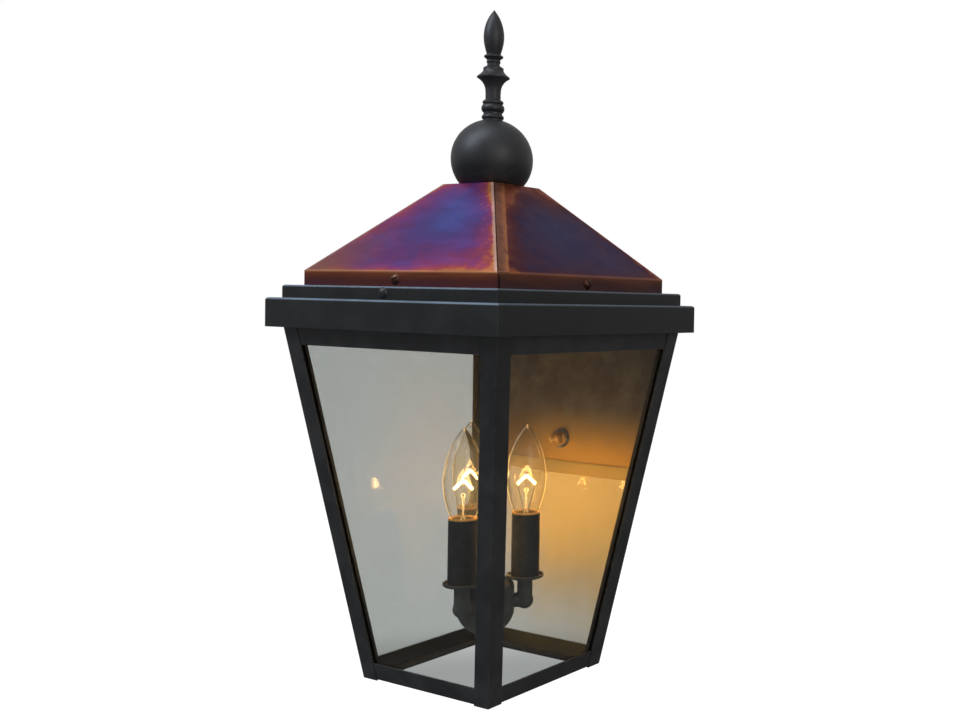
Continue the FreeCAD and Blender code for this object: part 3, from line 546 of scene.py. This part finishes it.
def makePane(name, finish, glowFilm):
    tree, glass, output = newMaterial(
        name, Transmission_Weight=1.0, Roughness=0.0, IOR=1.5, Emission_Strength=finish["paintedGlowStrength"])
    # the film: a diffuse coat, coloured amber as a painted glow of the lamps
    values = {"Roughness": finish["filmRough"], "Specular IOR Level": 0.0}
    smoke = addNode(tree, "ShaderNodeBsdfPrincipled", values)
    distance = lengthOf(tree, objectPlace(tree, offset=-(glowCentre + glowFilm["middle"])))
    cover = fade(tree, distance, *finish["glowRange"], glowFilm["near"], glowFilm["far"])
    smears = noise(tree, objectPlace(tree, stretch=(1, 1, 0.45)), 26.0, 5.0, 0.55, 0.8)
    cover = times(tree, cover, fade(tree, smears, 0.2, 0.8, 0.82, 1.12), True)
    cloud = useGroup(tree, mottle, Scale=60.0)["Tone"]
    connect(tree, smoke, Base_Color=mixTone(tree, cloud, finish["glowFilm"], finish["glowFilmShade"]))
    glowShare = fade(tree, cover, *finish["glowShare"])
    grey = mixTone(tree, cloud, finish["tint"], finish["tintPale"])
    lamplight = mixTone(tree, glowShare, noLight, finish["glowFilm"])  # painted lamplight: the glass glows amber where the film is
    # the glass is tinted amber under the film, a painted glow
    connect(tree, glass, Base_Color=mixTone(tree, glowShare, grey, finish["glowTint"]), Emission_Color=lamplight)
    coated = mixShader(tree, cover, glass.outputs[0], smoke.outputs[0])
    letLampsThrough(tree, output, coated, finish["tint"])


# lamp glass: a painted glow of the filament's light along its rim, strongest at the filament's height, with
# a slight haze beside the filament
lampGlassFinish = {
    "clear": tone(254, 253, 250), "smoky": tone(251, 248, 241), "passing": tone(250, 246, 236),
    "glow": tone(255, 204, 120), "shine": 6.0, "shineRange": (8 * mm, 75 * mm), "rim": 0.8, "faceOn": 0.006,
    "haze": 0.1, "hazeRange": (7 * mm, 14 * mm),
}
# the glass mount gets a brighter painted glow close round the filament
mountGlassFinish = dict(lampGlassFinish, shine=9.0, shineRange=(4 * mm, 30 * mm), rim=0.1, haze=0.05)
shineLevel = glowCentre.z - 2 * mm


def lampShine(tree, low, high):
    return fade(tree, magnitude(tree, minus(tree, levelOf(tree), shineLevel)), low, high, 1.0, 0.0)


def makeLampGlass(name, finish):
    tree, glass, output = newMaterial(
        name, Transmission_Weight=1.0, IOR=1.47, Emission_Strength=finish["shine"])
    smoke = fade(tree, noise(tree, objectPlace(tree), 45.0, 3.0), 0.3, 0.7)
    edgeOn = addNode(tree, "ShaderNodeLayerWeight", {"Blend": 0.5}).outputs["Facing"]
    edgeOn = fade(tree, edgeOn, finish["rim"], 1.0, finish["faceOn"], 1.0)
    glow = times(tree, lampShine(tree, *finish["shineRange"]), edgeOn)
    warmth = mixTone(tree, glow, noLight, finish["glow"])
    clear = mixTone(tree, smoke, finish["clear"], finish["smoky"])
    haze = fade(tree, lampShine(tree, *finish["hazeRange"]), 0.0, 1.0, 0.0, finish["haze"])
    connect(tree, glass, Base_Color=clear, Roughness=haze, Emission_Color=warmth)
    letLampsThrough(tree, output, glass.outputs[0], finish["passing"])


filamentFinish = {"warm": tone(255, 204, 124), "hot": tone(255, 230, 170), "seen": 3500.0, "cast": 24.0}


def makeFilamentGlow(name, finish):
    tree, shader, _ = newMaterial(name, Roughness=0.6)
    flicker = fade(tree, noise(tree, objectPlace(tree), 700.0, 3.0), 0.3, 0.7)
    glow = mixTone(tree, flicker, finish["warm"], finish["hot"])
    path = addNode(tree, "ShaderNodeLightPath").outputs
    looked = calc(tree, "MAXIMUM", path["Is Camera Ray"], path["Is Glossy Ray"])
    looked = calc(tree, "MAXIMUM", looked, path["Is Transmission Ray"])
    strength = fade(tree, looked, 0.0, 1.0, finish["cast"], finish["seen"])  # lamp lights cast the rest
    connect(tree, shader, Emission_Color=glow, Base_Color=glow, Emission_Strength=strength)


makeBlackMetal("black_metal", blackFinish)
makeBlackMetal("band_black", bandFinish)
makeBlackMetal("finial_black", finialFinish)
makeBlackMetal("candle_black", litCandleFinish)
makeSleeve("sleeve_black", litSleeveFinish)
makeFlameCopper("flame_copper", hoodFinish)
makeBronzeSheet("bronze_sheet", bronzeFinish)
makeBronzeSheet("bronze_bar", barFinish)
for name, glowFilm in paneGlowFilms.items():
    makePane(name, paneFinish, glowFilm)
makeLampGlass("lamp_glass", lampGlassFinish)
makeLampGlass("mount_glass", mountGlassFinish)
makeFilamentGlow("filament", filamentFinish)
for name, finish in smallFinishes.items():
    mottledBody(name, finish)
print("finishes:", len(finishes))


def finishMesh(shape, name, sharp=32):
    limit = math.radians(sharp)
    for face in shape.faces:
        face.smooth = True
    for edge in shape.edges:
        edge.smooth = edge.is_manifold and edge.calc_face_angle() < limit
    mesh = bpy.data.meshes.new(name)
    shape.to_mesh(mesh)
    shape.free()
    return mesh


# merged copy of a CAD piece, whose own mesh is loose triangles
def mergedShape(node):
    shape = bmesh.new()
    shape.from_mesh(nodes[node].data)
    bmesh.ops.remove_doubles(shape, verts=shape.verts, dist=0.002 * mm)
    return shape


def plainMesh(name, mesh, addModifiers):
    worker = bpy.data.objects.new(name, mesh)
    scene.collection.objects.link(worker)
    addModifiers(worker)
    made = bpy.data.meshes.new_from_object(worker.evaluated_get(bpy.context.evaluated_depsgraph_get()))
    bpy.data.objects.remove(worker)
    bpy.data.meshes.remove(mesh)
    made.name = name
    return made


# copy of a CAD piece with its long arrises rounded; folds of sheet are rounder than cut edges
arrisRules = {
    "flatDegrees": 0.5, "arrisDegrees": 25, "foldDegrees": 85, "foldLength": 60 * mm, "shortest": 8,
    "slip": 0.1 * mm, "segments": 3,
}


def bevelCopy(node, width, foldWidth):
    rules = arrisRules
    shape = mergedShape(node)
    flat = math.radians(rules["flatDegrees"])
    bmesh.ops.dissolve_limit(shape, angle_limit=flat, verts=shape.verts, edges=shape.edges)
    weight = shape.edges.layers.float.new("bevel_weight_edge")
    widest = max(width, foldWidth)
    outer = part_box(node)[1].x - rules["slip"]
    outerTop = max(corner.co.z for corner in shape.verts if corner.co.x > outer) - rules["slip"]
    for edge in shape.edges:
        arris = edge.is_manifold and edge.calc_face_angle() > math.radians(rules["arrisDegrees"])
        if not arris or edge.calc_length() <= rules["shortest"] * width:
            continue
        middle = (edge.verts[0].co + edge.verts[1].co) / 2
        reach = max(abs(middle.x), abs(middle.y - axisY))
        upperFold = reach > outer and middle.z > outerTop
        slack = edge.calc_face_angle() < math.radians(rules["foldDegrees"])
        longFold = slack and edge.calc_length() > rules["foldLength"]
        edge[weight] = (foldWidth if foldWidth and (upperFold or longFold) else width) / widest
    mesh = finishMesh(shape, node + "_blank", rules["arrisDegrees"])

    def roundOver(worker):
        arris = worker.modifiers.new("arris", "BEVEL")
        arris.limit_method = "WEIGHT"
        arris.width = widest
        arris.segments = rules["segments"]
        arris.harden_normals = True

    return plainMesh(node + "_dressed", mesh, roundOver)


def smoothCopy(node):
    return finishMesh(mergedShape(node), node + "_dressed")


def addPiece(name, mesh, body, finish, replaced=()):
    piece = bpy.data.objects.new(name, mesh)
    scene.collection.objects.link(piece)
    if finish:
        mesh.materials.clear()
        mesh.materials.append(finishes[finish])
    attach(piece, body)
    if replaced:
        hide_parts(*replaced)


# arris and fold are widths in mm
def dress(node, slot, finish, arris=0.0, fold=0.0):
    mesh = bevelCopy(node, arris * mm, fold * mm) if arris else smoothCopy(node)
    addPiece(node + "_dressed", mesh, nodes[node]["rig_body"], finish, [node])


# profile turned about an upright axis; radius and height pairs, from the bottom up on the outside
def lathe(name, profile, centre, segments=64):
    shape = bmesh.new()
    rings = []
    for radius, height in profile:
        if radius < 1e-7:
            rings.append([shape.verts.new((centre.x, centre.y, height))])
            continue
        ring = []
        for step in range(segments):
            angle = 2 * math.pi * step / segments
            x = centre.x + radius * math.cos(angle)
            y = centre.y + radius * math.sin(angle)
            ring.append(shape.verts.new((x, y, height)))
        rings.append(ring)
    for lower, upper in zip(rings, rings[1:]):
        for step in range(segments):
            after = (step + 1) % segments
            corners = [lower[step % len(lower)], lower[after % len(lower)]]
            corners += [upper[after % len(upper)], upper[step % len(upper)]]
            corners = list(dict.fromkeys(corners))
            if len(corners) > 2:
                shape.faces.new(corners)
    bmesh.ops.remove_doubles(shape, verts=shape.verts, dist=0.001 * mm)
    bmesh.ops.recalc_face_normals(shape, faces=shape.faces)
    return finishMesh(shape, name)


# corners of an outline taken off by a small radius
def softened(points, radius, steps=3):
    soft = [points[0]]
    for before, corner, after in zip(points, points[1:], points[2:]):
        here = Vector(corner)
        back, ahead = Vector(before) - here, Vector(after) - here
        cut = min(radius, back.length * 0.4, ahead.length * 0.4)
        start, end = here + back.normalized() * cut, here + ahead.normalized() * cut
        for step in range(steps + 1):
            t = step / steps
            soft.append(tuple(start * (1 - t) ** 2 + here * 2 * t * (1 - t) + end * t ** 2))
    return soft + [points[-1]]


# smooth line through every point
def curveThrough(points, steps):
    line = [points[0]]
    ends = [tuple(2 * a - b for a, b in zip(points[0], points[1]))] + list(points)
    ends.append(tuple(2 * a - b for a, b in zip(points[-1], points[-2])))
    for p0, p1, p2, p3 in zip(ends, ends[1:], ends[2:], ends[3:]):
        for step in range(1, steps + 1):
            t = step / steps
            line.append(tuple(
                0.5 * (2 * b + (c - a) * t + (2 * a - 5 * b + 4 * c - d) * t ** 2
                       + (3 * b - a - 3 * c + d) * t ** 3)
                for a, b, c, d in zip(p0, p1, p2, p3)))
    return line


def geometryTree(name, inputs):
    tree = bpy.data.node_groups.new(name, "GeometryNodeTree")
    tree.interface.new_socket("Geometry", in_out="INPUT", socket_type="NodeSocketGeometry")
    tree.interface.new_socket("Geometry", in_out="OUTPUT", socket_type="NodeSocketGeometry")
    for label, kind in inputs.items():
        tree.interface.new_socket(label, in_out="INPUT", socket_type="NodeSocket" + kind)
    return tree, tree.nodes.new("NodeGroupInput").outputs, tree.nodes.new("NodeGroupOutput").inputs


def grow(name, tree, settings, mesh=None):
    def addTree(worker):
        modifier = worker.modifiers.new("tree", "NODES")
        modifier.node_group = tree
        for item in tree.interface.items_tree:
            if item.item_type == "SOCKET" and item.in_out == "INPUT" and item.name in settings:
                modifier[item.identifier] = settings[item.name]

    return plainMesh(name, mesh or bpy.data.meshes.new(name + "_seed"), addTree)


# wire wound on a straight line: lamp filaments, rolled threads
def makeCoilTree():
    inputs = {
        "Turns": "Float", "Coil Radius": "Float", "Length": "Float", "Wire Radius": "Float", "Steps": "Int",
        "Start": "Vector", "Tilt": "Rotation", "Finish": "Material",
    }
    tree, given, result = geometryTree("woundWire", inputs)
    radius = given["Coil Radius"]
    line = addNode(tree, "GeometryNodeCurveSpiral", {
        "Resolution": given["Steps"], "Rotations": given["Turns"], "Height": given["Length"],
        "Start Radius": radius, "End Radius": radius})
    ring = addNode(tree, "GeometryNodeCurvePrimitiveCircle", {
        "Resolution": 6, "Radius": given["Wire Radius"]})
    wire = addNode(tree, "GeometryNodeCurveToMesh", {
        "Curve": line.outputs[0], "Profile Curve": ring.outputs[0], "Fill Caps": True})
    placed = addNode(tree, "GeometryNodeTransform", {
        "Geometry": wire.outputs[0], "Translation": given["Start"], "Rotation": given["Tilt"]})
    real = addNode(tree, "GeometryNodeRealizeInstances", {0: placed.outputs[0]})
    smooth = addNode(tree, "GeometryNodeSetShadeSmooth", {0: real.outputs[0]})
    values = {"Geometry": smooth.outputs[0], "Material": given["Finish"]}
    coated = addNode(tree, "GeometryNodeSetMaterial", values)
    tree.links.new(coated.outputs[0], result["Geometry"])
    return tree


def cuboid(tree, **sides):
    return addNode(tree, "GeometryNodeMeshCube", {"Size": triple(tree, **sides)}).outputs["Mesh"]


def raised(tree, mesh, height):
    values = {"Geometry": mesh, "Translation": triple(tree, Z=height)}
    return addNode(tree, "GeometryNodeTransform", values).outputs[0]


def cutAway(tree, mesh, cutter):
    values = {"Mesh 1": mesh, "Mesh 2": cutter}
    cut = addNode(tree, "GeometryNodeMeshBoolean", values, operation="DIFFERENCE", solver="EXACT")
    return cut.outputs["Mesh"]


# domed screws with a cut slot, one on each seat point, each slot left at its own angle
def makeScrewTree():
    inputs = {
        "Head Radius": "Float", "Head Height": "Float", "Slot Width": "Float", "Slot Depth": "Float",
        "Step Level": "Float", "Unit": "Float", "Hood Finish": "Material", "Step Finish": "Material",
        "Seed": "Int",
    }
    tree, given, result = geometryTree("slottedScrews", inputs)
    radius, height = given["Head Radius"], given["Head Height"]
    squares = plus(tree, times(tree, radius, radius), times(tree, height, height))
    sphere = calc(tree, "DIVIDE", squares, times(tree, height, 2.0))  # radius of the dome's ball
    ball = addNode(tree, "GeometryNodeMeshUVSphere", {"Segments": 48, "Rings": 40, "Radius": sphere})
    ball = raised(tree, ball.outputs["Mesh"], minus(tree, height, sphere))
    wide = times(tree, sphere, 4.0)
    under = raised(tree, cuboid(tree, X=wide, Y=wide, Z=wide), times(tree, wide, -0.5))
    slot = cuboid(tree, X=wide, Y=given["Slot Width"], Z=times(tree, given["Slot Depth"], 2.0))
    head = cutAway(tree, cutAway(tree, ball, under), raised(tree, slot, height))
    facing = addNode(tree, "GeometryNodeInputNamedAttribute", {"Name": "facing"}, data_type="FLOAT_VECTOR")
    turn = addNode(tree, "FunctionNodeAlignRotationToVector", {"Vector": facing.outputs[0]}, axis="Z")
    values = {"Min": -0.9, "Max": 0.9, "Seed": given["Seed"]}
    spin = addNode(tree, "FunctionNodeRandomValue", values, data_type="FLOAT")
    spin = [output for output in spin.outputs if output.enabled][0]
    spread = addNode(tree, "GeometryNodeInstanceOnPoints", {
        "Points": given["Geometry"], "Instance": head, "Rotation": turn.outputs[0], "Scale": given["Unit"]})
    values = {"Instances": spread.outputs[0], "Rotation": triple(tree, Z=spin)}
    spread = addNode(tree, "GeometryNodeRotateInstances", values)
    real = addNode(tree, "GeometryNodeRealizeInstances", {0: spread.outputs[0]})
    level = axesOf(tree, addNode(tree, "GeometryNodeInputPosition").outputs[0])["Z"]
    onStep = calc(tree, "LESS_THAN", level, given["Step Level"])
    values = {"Geometry": real.outputs[0], "Material": given["Hood Finish"]}
    coated = addNode(tree, "GeometryNodeSetMaterial", values)
    values = {"Geometry": coated.outputs[0], "Selection": onStep, "Material": given["Step Finish"]}
    coated = addNode(tree, "GeometryNodeSetMaterial", values)
    tree.links.new(coated.outputs[0], result["Geometry"])
    return tree


coilTree = makeCoilTree()
screwTree = makeScrewTree()
print("trees: coil, screws")

# frame of L-angle, bands, hood, back, wall side and panes: slot, finish, arris, fold
frameDress = ("black_metal", "black_metal", 0.35)
pieceDress = {
    "cornice_band": ("black_metal", "band_black", 0.35, 2.2),
    "step_band": ("black_metal", "band_black", 0.35, 1.9),
    "roof_hood": ("hood_copper", "flame_copper", 0.3, 0.9),
    "back_plate": ("back_bronze", "bronze_sheet", 0.2),
    "back_bar": ("back_bronze", "bronze_bar", 0.25),
    "wall_canopy": ("black_metal", "black_metal", 0.35),
    "crossbar": ("plain_steel", "steel", 0.3),
    "stem_bar": ("plain_steel", "steel", 0.3),
    "finial_nut": ("plain_steel", "steel", 0.4),
    "stem_nuts": ("black_metal", "black_metal", 0.5),
    "stud_nut": ("plain_steel", "steel", 0.4),
    "finial_stud": ("plain_steel", "steel"),
    "mounting_stud": ("plain_steel", "steel"),
    "taper_washer": ("plain_steel", "steel"),
    "finial_ball": ("black_metal", "finial_black"),
    "finial_spire": ("black_metal", "finial_black"),
    "stem": ("black_metal", "black_metal"),
    "cluster_body": ("black_metal", "candle_black"),
    "cap_nut": ("cap_nut_brass", "aged_brass"),
    "glass_front": ("pane_glass", "front_pane", 0.3),
    "glass_right": ("pane_glass", "front_pane", 0.3),
    "glass_left": ("pane_glass", "side_pane", 0.3),
    "glass_back": ("pane_glass", "back_pane", 0.3),
}
for node in nodes:
    if node.startswith(("corner_post", "top_rail", "bottom_rail")):
        dress(node, *frameDress)
for node, look in pieceDress.items():
    dress(node, *look)
print("frame, bands and panes dressed")

# screws on the hood's skirt and on the step; the tree's sizes are in mm
screwSizes = {
    "Head Radius": 4.75, "Head Height": 2.8, "Slot Width": 1.2, "Slot Depth": 1.2, "Unit": mm, "Seed": 4,
}
screwSeats = {"hoodRise": 6.0 * mm, "hoodReach": 110 * mm, "stepRise": 5.6 * mm}


def makeScrews():
    seats, facings = [], []
    stepLow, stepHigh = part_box("step_band")
    onHood = Vector((0, axisY, hoodLow.z + screwSeats["hoodRise"]))
    onStep = Vector((0, axisY, stepLow.z + screwSeats["stepRise"]))
    for turn in range(4):
        facing = Matrix.Rotation(math.pi / 2 * turn, 3, "Z") @ Vector((0, -1, 0))
        seats.append(onHood + facing * screwSeats["hoodReach"])
        facings.append(facing)
        if turn % 2 == 0:  # the step has them at the front and the back only
            seats.append(onStep + facing * stepHigh.x)
            facings.append(facing)
    mesh = bpy.data.meshes.new("screw_seats")
    mesh.from_pydata(seats, [], [])
    attribute = mesh.attributes.new("facing", "FLOAT_VECTOR", "POINT")
    attribute.data.foreach_set("vector", [axis for facing in facings for axis in facing])
    settings = dict(screwSizes)
    settings["Step Level"] = hoodLow.z
    settings["Hood Finish"] = finishes["screw_copper"]
    settings["Step Finish"] = finishes["black_metal"]
    made = grow("cap_screws_dressed", screwTree, settings, mesh)
    shape = bmesh.new()
    shape.from_mesh(made)
    smoothed = finishMesh(shape, "cap_screws_dressed", 30)
    for finish in made.materials:
        smoothed.materials.append(finish)
    addPiece("cap_screws_dressed", smoothed, "lantern", None, ["cap_screws"])


makeScrews()
print("screws set")

# candles: arm, cup, sleeve, socket
candleDress = {
    "candle_arm": ("black_metal", "candle_black"),
    "candle_cup": ("black_metal", "candle_black"),
    "candle_sleeve": ("candle_sleeve", "sleeve_black", 0.3),
    "lamp_socket": ("lamp_socket", "phenolic"),
}
for number in lampNumbers:
    for part, look in candleDress.items():
        dress(f"{part}_{number}", *look)
print("candles dressed")

# lamps: blown glass, screw shell with a rolled thread, glass mount, leads and coiled filament
shellSizes = {
    "threadPitch": 2.54 * mm, "threadWire": 0.55 * mm, "threadRise": 1.5 * mm, "plainEnds": 4 * mm,
    "footRound": (0.8 * mm, 1.2 * mm), "wall": 0.4 * mm, "lip": 0.2 * mm, "floor": 0.6 * mm,
    "soft": 0.3 * mm,
}
# profiles are radius and height in mm, over the mount's foot, about the stem's top and about the bead
mountSizes = {
    "stemRise": 18 * mm, "beadDrop": 14.5 * mm,
    "flare": [(0, 0), (4.1, 0), (3.0, 3), (2.2, 8)],
    "stem": [(1.9, -1), (1.2, 0), (0.75, 1.5)],
    "bead": [(0.7, -2.2), (1.8, 0), (1.2, 1.5), (0, 1.9)],
}
# hooks that the filament hangs on: across and up from the mount's top, in mm
filamentSizes = {
    "hooks": [(-8.0, -9.0), (0.0, -1.2), (8.0, -9.0)], "turnDegrees": (38, 46, 30),
    "coilRadius": 1.0 * mm, "coilWire": 0.32 * mm, "coilPitch": 0.9 * mm,
    "leadRadius": 0.3 * mm, "leadSpread": 1.2 * mm, "leadSink": 1 * mm, "leadSides": 10,
    "supportShare": 0.6,
}


def joinMeshes(name, meshes):
    shape = bmesh.new()
    for mesh in meshes:
        shape.from_mesh(mesh)
        bpy.data.meshes.remove(mesh)
    return finishMesh(shape, name, 40)


def rod(name, start, end, radius):
    shape = bmesh.new()
    span = end - start
    turn = span.to_track_quat("Z", "Y").to_matrix().to_4x4()
    place = Matrix.Translation((start + end) / 2) @ turn
    bmesh.ops.create_cone(
        shape, cap_ends=True, segments=filamentSizes["leadSides"], radius1=radius, radius2=radius,
        depth=span.length, matrix=place)
    return finishMesh(shape, name, 40)


def makeLampBase(number, low, high, centre):
    sizes = shellSizes
    radius = (high.x - low.x) / 2 - sizes["threadWire"]
    inset, lift = sizes["footRound"]
    inner, floor = radius - sizes["wall"], low.z + sizes["floor"]
    shell = softened([
        (0, low.z), (radius - inset, low.z), (radius, low.z + lift), (radius, high.z - sizes["lip"]),
        (inner, high.z), (inner, floor), (0, floor)], sizes["soft"])
    turns = (high.z - low.z - sizes["plainEnds"]) / sizes["threadPitch"]
    start = Vector((centre.x, centre.y, low.z + sizes["threadRise"]))
    thread = grow("thread", coilTree, {
        "Turns": turns, "Coil Radius": radius, "Length": turns * sizes["threadPitch"], "Steps": 40,
        "Wire Radius": sizes["threadWire"], "Start": start})
    base = joinMeshes(f"lamp_base_{number}_dressed", [lathe("shell", shell, centre), thread])
    addPiece(base.name, base, f"lamp_{number}", "brass", [f"lamp_base_{number}"])


def profileAt(points, level):
    return [(radius * mm, level + rise * mm) for radius, rise in points]


def makeLampMount(number, foot, stemTop, beadLevel, centre):
    flare = profileAt(mountSizes["flare"], foot) + profileAt(mountSizes["stem"], stemTop)
    profile = curveThrough(flare, 4) + curveThrough(profileAt(mountSizes["bead"], beadLevel), 5)
    mount = lathe(f"lamp_mount_{number}_dressed", profile, centre, 28)
    addPiece(mount.name, mount, f"lamp_{number}", "mount_glass", [f"lamp_mount_{number}"])


def makeFilament(number, peak, stemTop, beadLevel):
    sizes = filamentSizes
    body = f"lamp_{number}"
    turn = Matrix.Rotation(math.radians(sizes["turnDegrees"][number - 1]), 4, "Z")
    hooks = [peak + turn @ Vector((across * mm, 0, up * mm)) for across, up in sizes["hooks"]]
    coils, wires = [], []
    for start, end in zip(hooks, hooks[1:]):
        span = end - start
        coils.append(grow("coil", coilTree, {
            "Turns": span.length / sizes["coilPitch"], "Coil Radius": sizes["coilRadius"],
            "Length": span.length, "Steps": 14, "Wire Radius": sizes["coilWire"], "Start": start,
            "Tilt": span.to_track_quat("Z", "Y").to_euler()}))
    stem = Vector((peak.x, peak.y, stemTop - sizes["leadSink"]))
    for hook, sign in ((hooks[0], -1), (hooks[-1], 1)):
        root = stem + turn @ Vector((sign * sizes["leadSpread"], 0, 0))
        wires.append(rod("lead", root, hook, sizes["leadRadius"]))
    bead = Vector((peak.x, peak.y, beadLevel))
    for hook in hooks[1:-1]:
        wires.append(rod("support", bead, hook, sizes["leadRadius"] * sizes["supportShare"]))
    filament = joinMeshes(f"filament_{number}", coils)
    addPiece(filament.name, filament, body, "filament")
    leads = joinMeshes(f"lamp_leads_{number}", wires)
    addPiece(leads.name, leads, body, "lead_wire")


def makeLamp(number):
    low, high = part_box(f"lamp_base_{number}")
    mountLow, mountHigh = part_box(f"lamp_mount_{number}")
    centre = (low + high) / 2
    peak = Vector((centre.x, centre.y, mountHigh.z))
    stemTop = mountLow.z + mountSizes["stemRise"]
    beadLevel = mountHigh.z - mountSizes["beadDrop"]
    dress(f"lamp_glass_{number}", "lamp_glass", "lamp_glass")
    dress(f"lamp_tip_{number}", "lamp_tip", "contact_glass")
    makeLampBase(number, low, high, centre)
    makeLampMount(number, mountLow.z, stemTop, beadLevel, centre)
    makeFilament(number, peak, stemTop, beadLevel)
    return peak


lampPeaks = [makeLamp(number) for number in lampNumbers]
print("lamps built")

# floor, studio light, lamps' own light, camera
stageSettings = {
    "floorDrop": 0.16, "floorRadius": 9.0, "floorWhite": 0.9, "floorShade": 0.25, "floorMirrored": 0.10,
    "paper": 1.25, "underShade": 0.55, "underRange": (0.5, 0.75), "skyDiffuse": 0.34, "skyMirrored": 0.5,
}
studioLamps = {
    "key": {"place": (-1.0, -1.7, 1.8), "size": 1.3, "watts": 30.0, "colour": (0.74, 0.87, 1.0)},
    "fill": {"place": (2.0, -0.9, 0.8), "size": 1.4, "watts": 11.0, "colour": (1.0, 0.98, 0.95)},
    "top": {"place": (-0.2, -0.9, 2.2), "size": 1.2, "watts": 14.0, "colour": (0.82, 0.92, 1.0)},
}
studioAim = Vector((0, axisY, 0.05))
lampLight = {"watts": 0.82, "colour": (1.0, 0.65, 0.23), "soft": 16 * mm, "drop": 5 * mm}
cameraSettings = {
    "place": (0.7248, -0.90782, 0.13616), "aim": (-0.49633, 0.86756, -0.03164), "rollDegrees": 1.287,
    "lens": 43.2, "sensor": 36.0, "shiftX": -0.2954, "shiftY": -0.0223,
}


# rays that look at the backdrop, straight or through glass, and rays that mirror it
def backdropRays(tree):
    path = addNode(tree, "ShaderNodeLightPath").outputs
    throughGlass = path["Is Transmission Ray"]
    clean = calc(tree, "LESS_THAN", path["Diffuse Depth"], 0.5)
    unmirrored = calc(tree, "LESS_THAN", path["Glossy Depth"], 0.5)
    direct = calc(tree, "MAXIMUM", path["Is Camera Ray"], throughGlass)
    seen = times(tree, times(tree, clean, direct), unmirrored)
    bent = times(tree, clean, calc(tree, "MAXIMUM", path["Is Glossy Ray"], throughGlass))
    return seen, minus(tree, bent, seen, True), throughGlass


def makeFloor(settings):
    shape = bmesh.new()
    level = cadBox[0].z - settings["floorDrop"]
    radius = settings["floorRadius"]
    middle = Matrix.Translation((0, axisY, level))
    bmesh.ops.create_circle(shape, cap_ends=True, segments=96, radius=radius, matrix=middle)
    floor = bpy.data.objects.new("floor", finishMesh(shape, "floor"))
    scene.collection.objects.link(floor)
    tree, shader, output = newMaterial("pale_floor", Roughness=0.9, Specular_IOR_Level=0.0)
    grain = fade(tree, noise(tree, objectPlace(tree), 6.0), 0.0, 1.0)
    white = settings["floorWhite"]
    connect(tree, shader, Base_Color=mixTone(tree, grain, [white] * 3 + [1], [white * 0.99] * 3 + [1]))
    seen, mirrored, throughGlass = backdropRays(tree)
    distance = lengthOf(tree, objectPlace(tree, offset=(0, -axisY, -level)))
    shaded = fade(tree, distance, *settings["underRange"], settings["underShade"], 0.0)
    shaded = times(tree, throughGlass, shaded)
    strength = times(tree, minus(tree, 1.0, shaded), settings["paper"])
    paper = addNode(tree, "ShaderNodeEmission", {"Strength": strength}).outputs[0]
    share = times(tree, seen, 1 - settings["floorShade"])
    surface = mixShader(tree, share, shader.outputs[0], paper)
    dim = addNode(tree, "ShaderNodeEmission", {"Strength": settings["floorMirrored"]}).outputs[0]
    surface = mixShader(tree, mirrored, surface, dim)
    under = addNode(tree, "ShaderNodeNewGeometry").outputs["Backfacing"]  # hides nothing from below
    clear = addNode(tree, "ShaderNodeBsdfTransparent").outputs[0]
    tree.links.new(mixShader(tree, under, surface, clear), output.inputs["Surface"])
    floor.data.materials.append(finishes["pale_floor"])


def makeSky(settings):
    world = bpy.data.worlds.new("studio")
    world.use_nodes = True
    scene.world = world
    tree = world.node_tree
    tree.nodes.clear()
    seen, mirrored, _ = backdropRays(tree)
    strength = fade(tree, mirrored, 0.0, 1.0, settings["skyDiffuse"], settings["skyMirrored"])
    strength = calc(tree, "MAXIMUM", strength, seen)
    sky = addNode(tree, "ShaderNodeBackground", {"Color": (1, 1, 1, 1), "Strength": strength}).outputs[0]
    tree.links.new(sky, addNode(tree, "ShaderNodeOutputWorld").inputs["Surface"])


def addLight(name, kind, place, watts, colour):
    light = bpy.data.lights.new(name, kind)
    light.energy = watts
    light.color = colour
    holder = bpy.data.objects.new(name, light)
    holder.location = place
    scene.collection.objects.link(holder)
    return holder


def makeLights():
    for name, settings in studioLamps.items():
        holder = addLight(name, "AREA", settings["place"], settings["watts"], settings["colour"])
        holder.data.shape = "DISK"
        holder.data.size = settings["size"]
        aim = studioAim - holder.location
        holder.rotation_euler = aim.to_track_quat("-Z", "Y").to_euler()
    for number, peak in zip(lampNumbers, lampPeaks):
        place = peak - Vector((0, 0, lampLight["drop"]))
        holder = addLight(f"lamp_light_{number}", "POINT", place, lampLight["watts"], lampLight["colour"])
        holder.data.shadow_soft_size = lampLight["soft"]
        holder.visible_camera = False
        holder.visible_glossy = False
        holder.visible_transmission = False


def makeCamera(settings):
    camera = bpy.data.cameras.new("camera")
    camera.lens = settings["lens"]
    camera.sensor_width = settings["sensor"]
    camera.shift_x = settings["shiftX"]
    camera.shift_y = settings["shiftY"]
    holder = bpy.data.objects.new("camera", camera)
    aim = Vector(settings["aim"]).to_track_quat("-Z", "Y").to_matrix().to_4x4()
    roll = Matrix.Rotation(math.radians(settings["rollDegrees"]), 4, "Z")
    holder.matrix_world = Matrix.Translation(settings["place"]) @ aim @ roll
    scene.collection.objects.link(holder)
    scene.camera = holder


makeFloor(stageSettings)
makeSky(stageSettings)
makeLights()
makeCamera(cameraSettings)
scene.view_settings.view_transform = "Standard"
print("stage, lights and camera set")
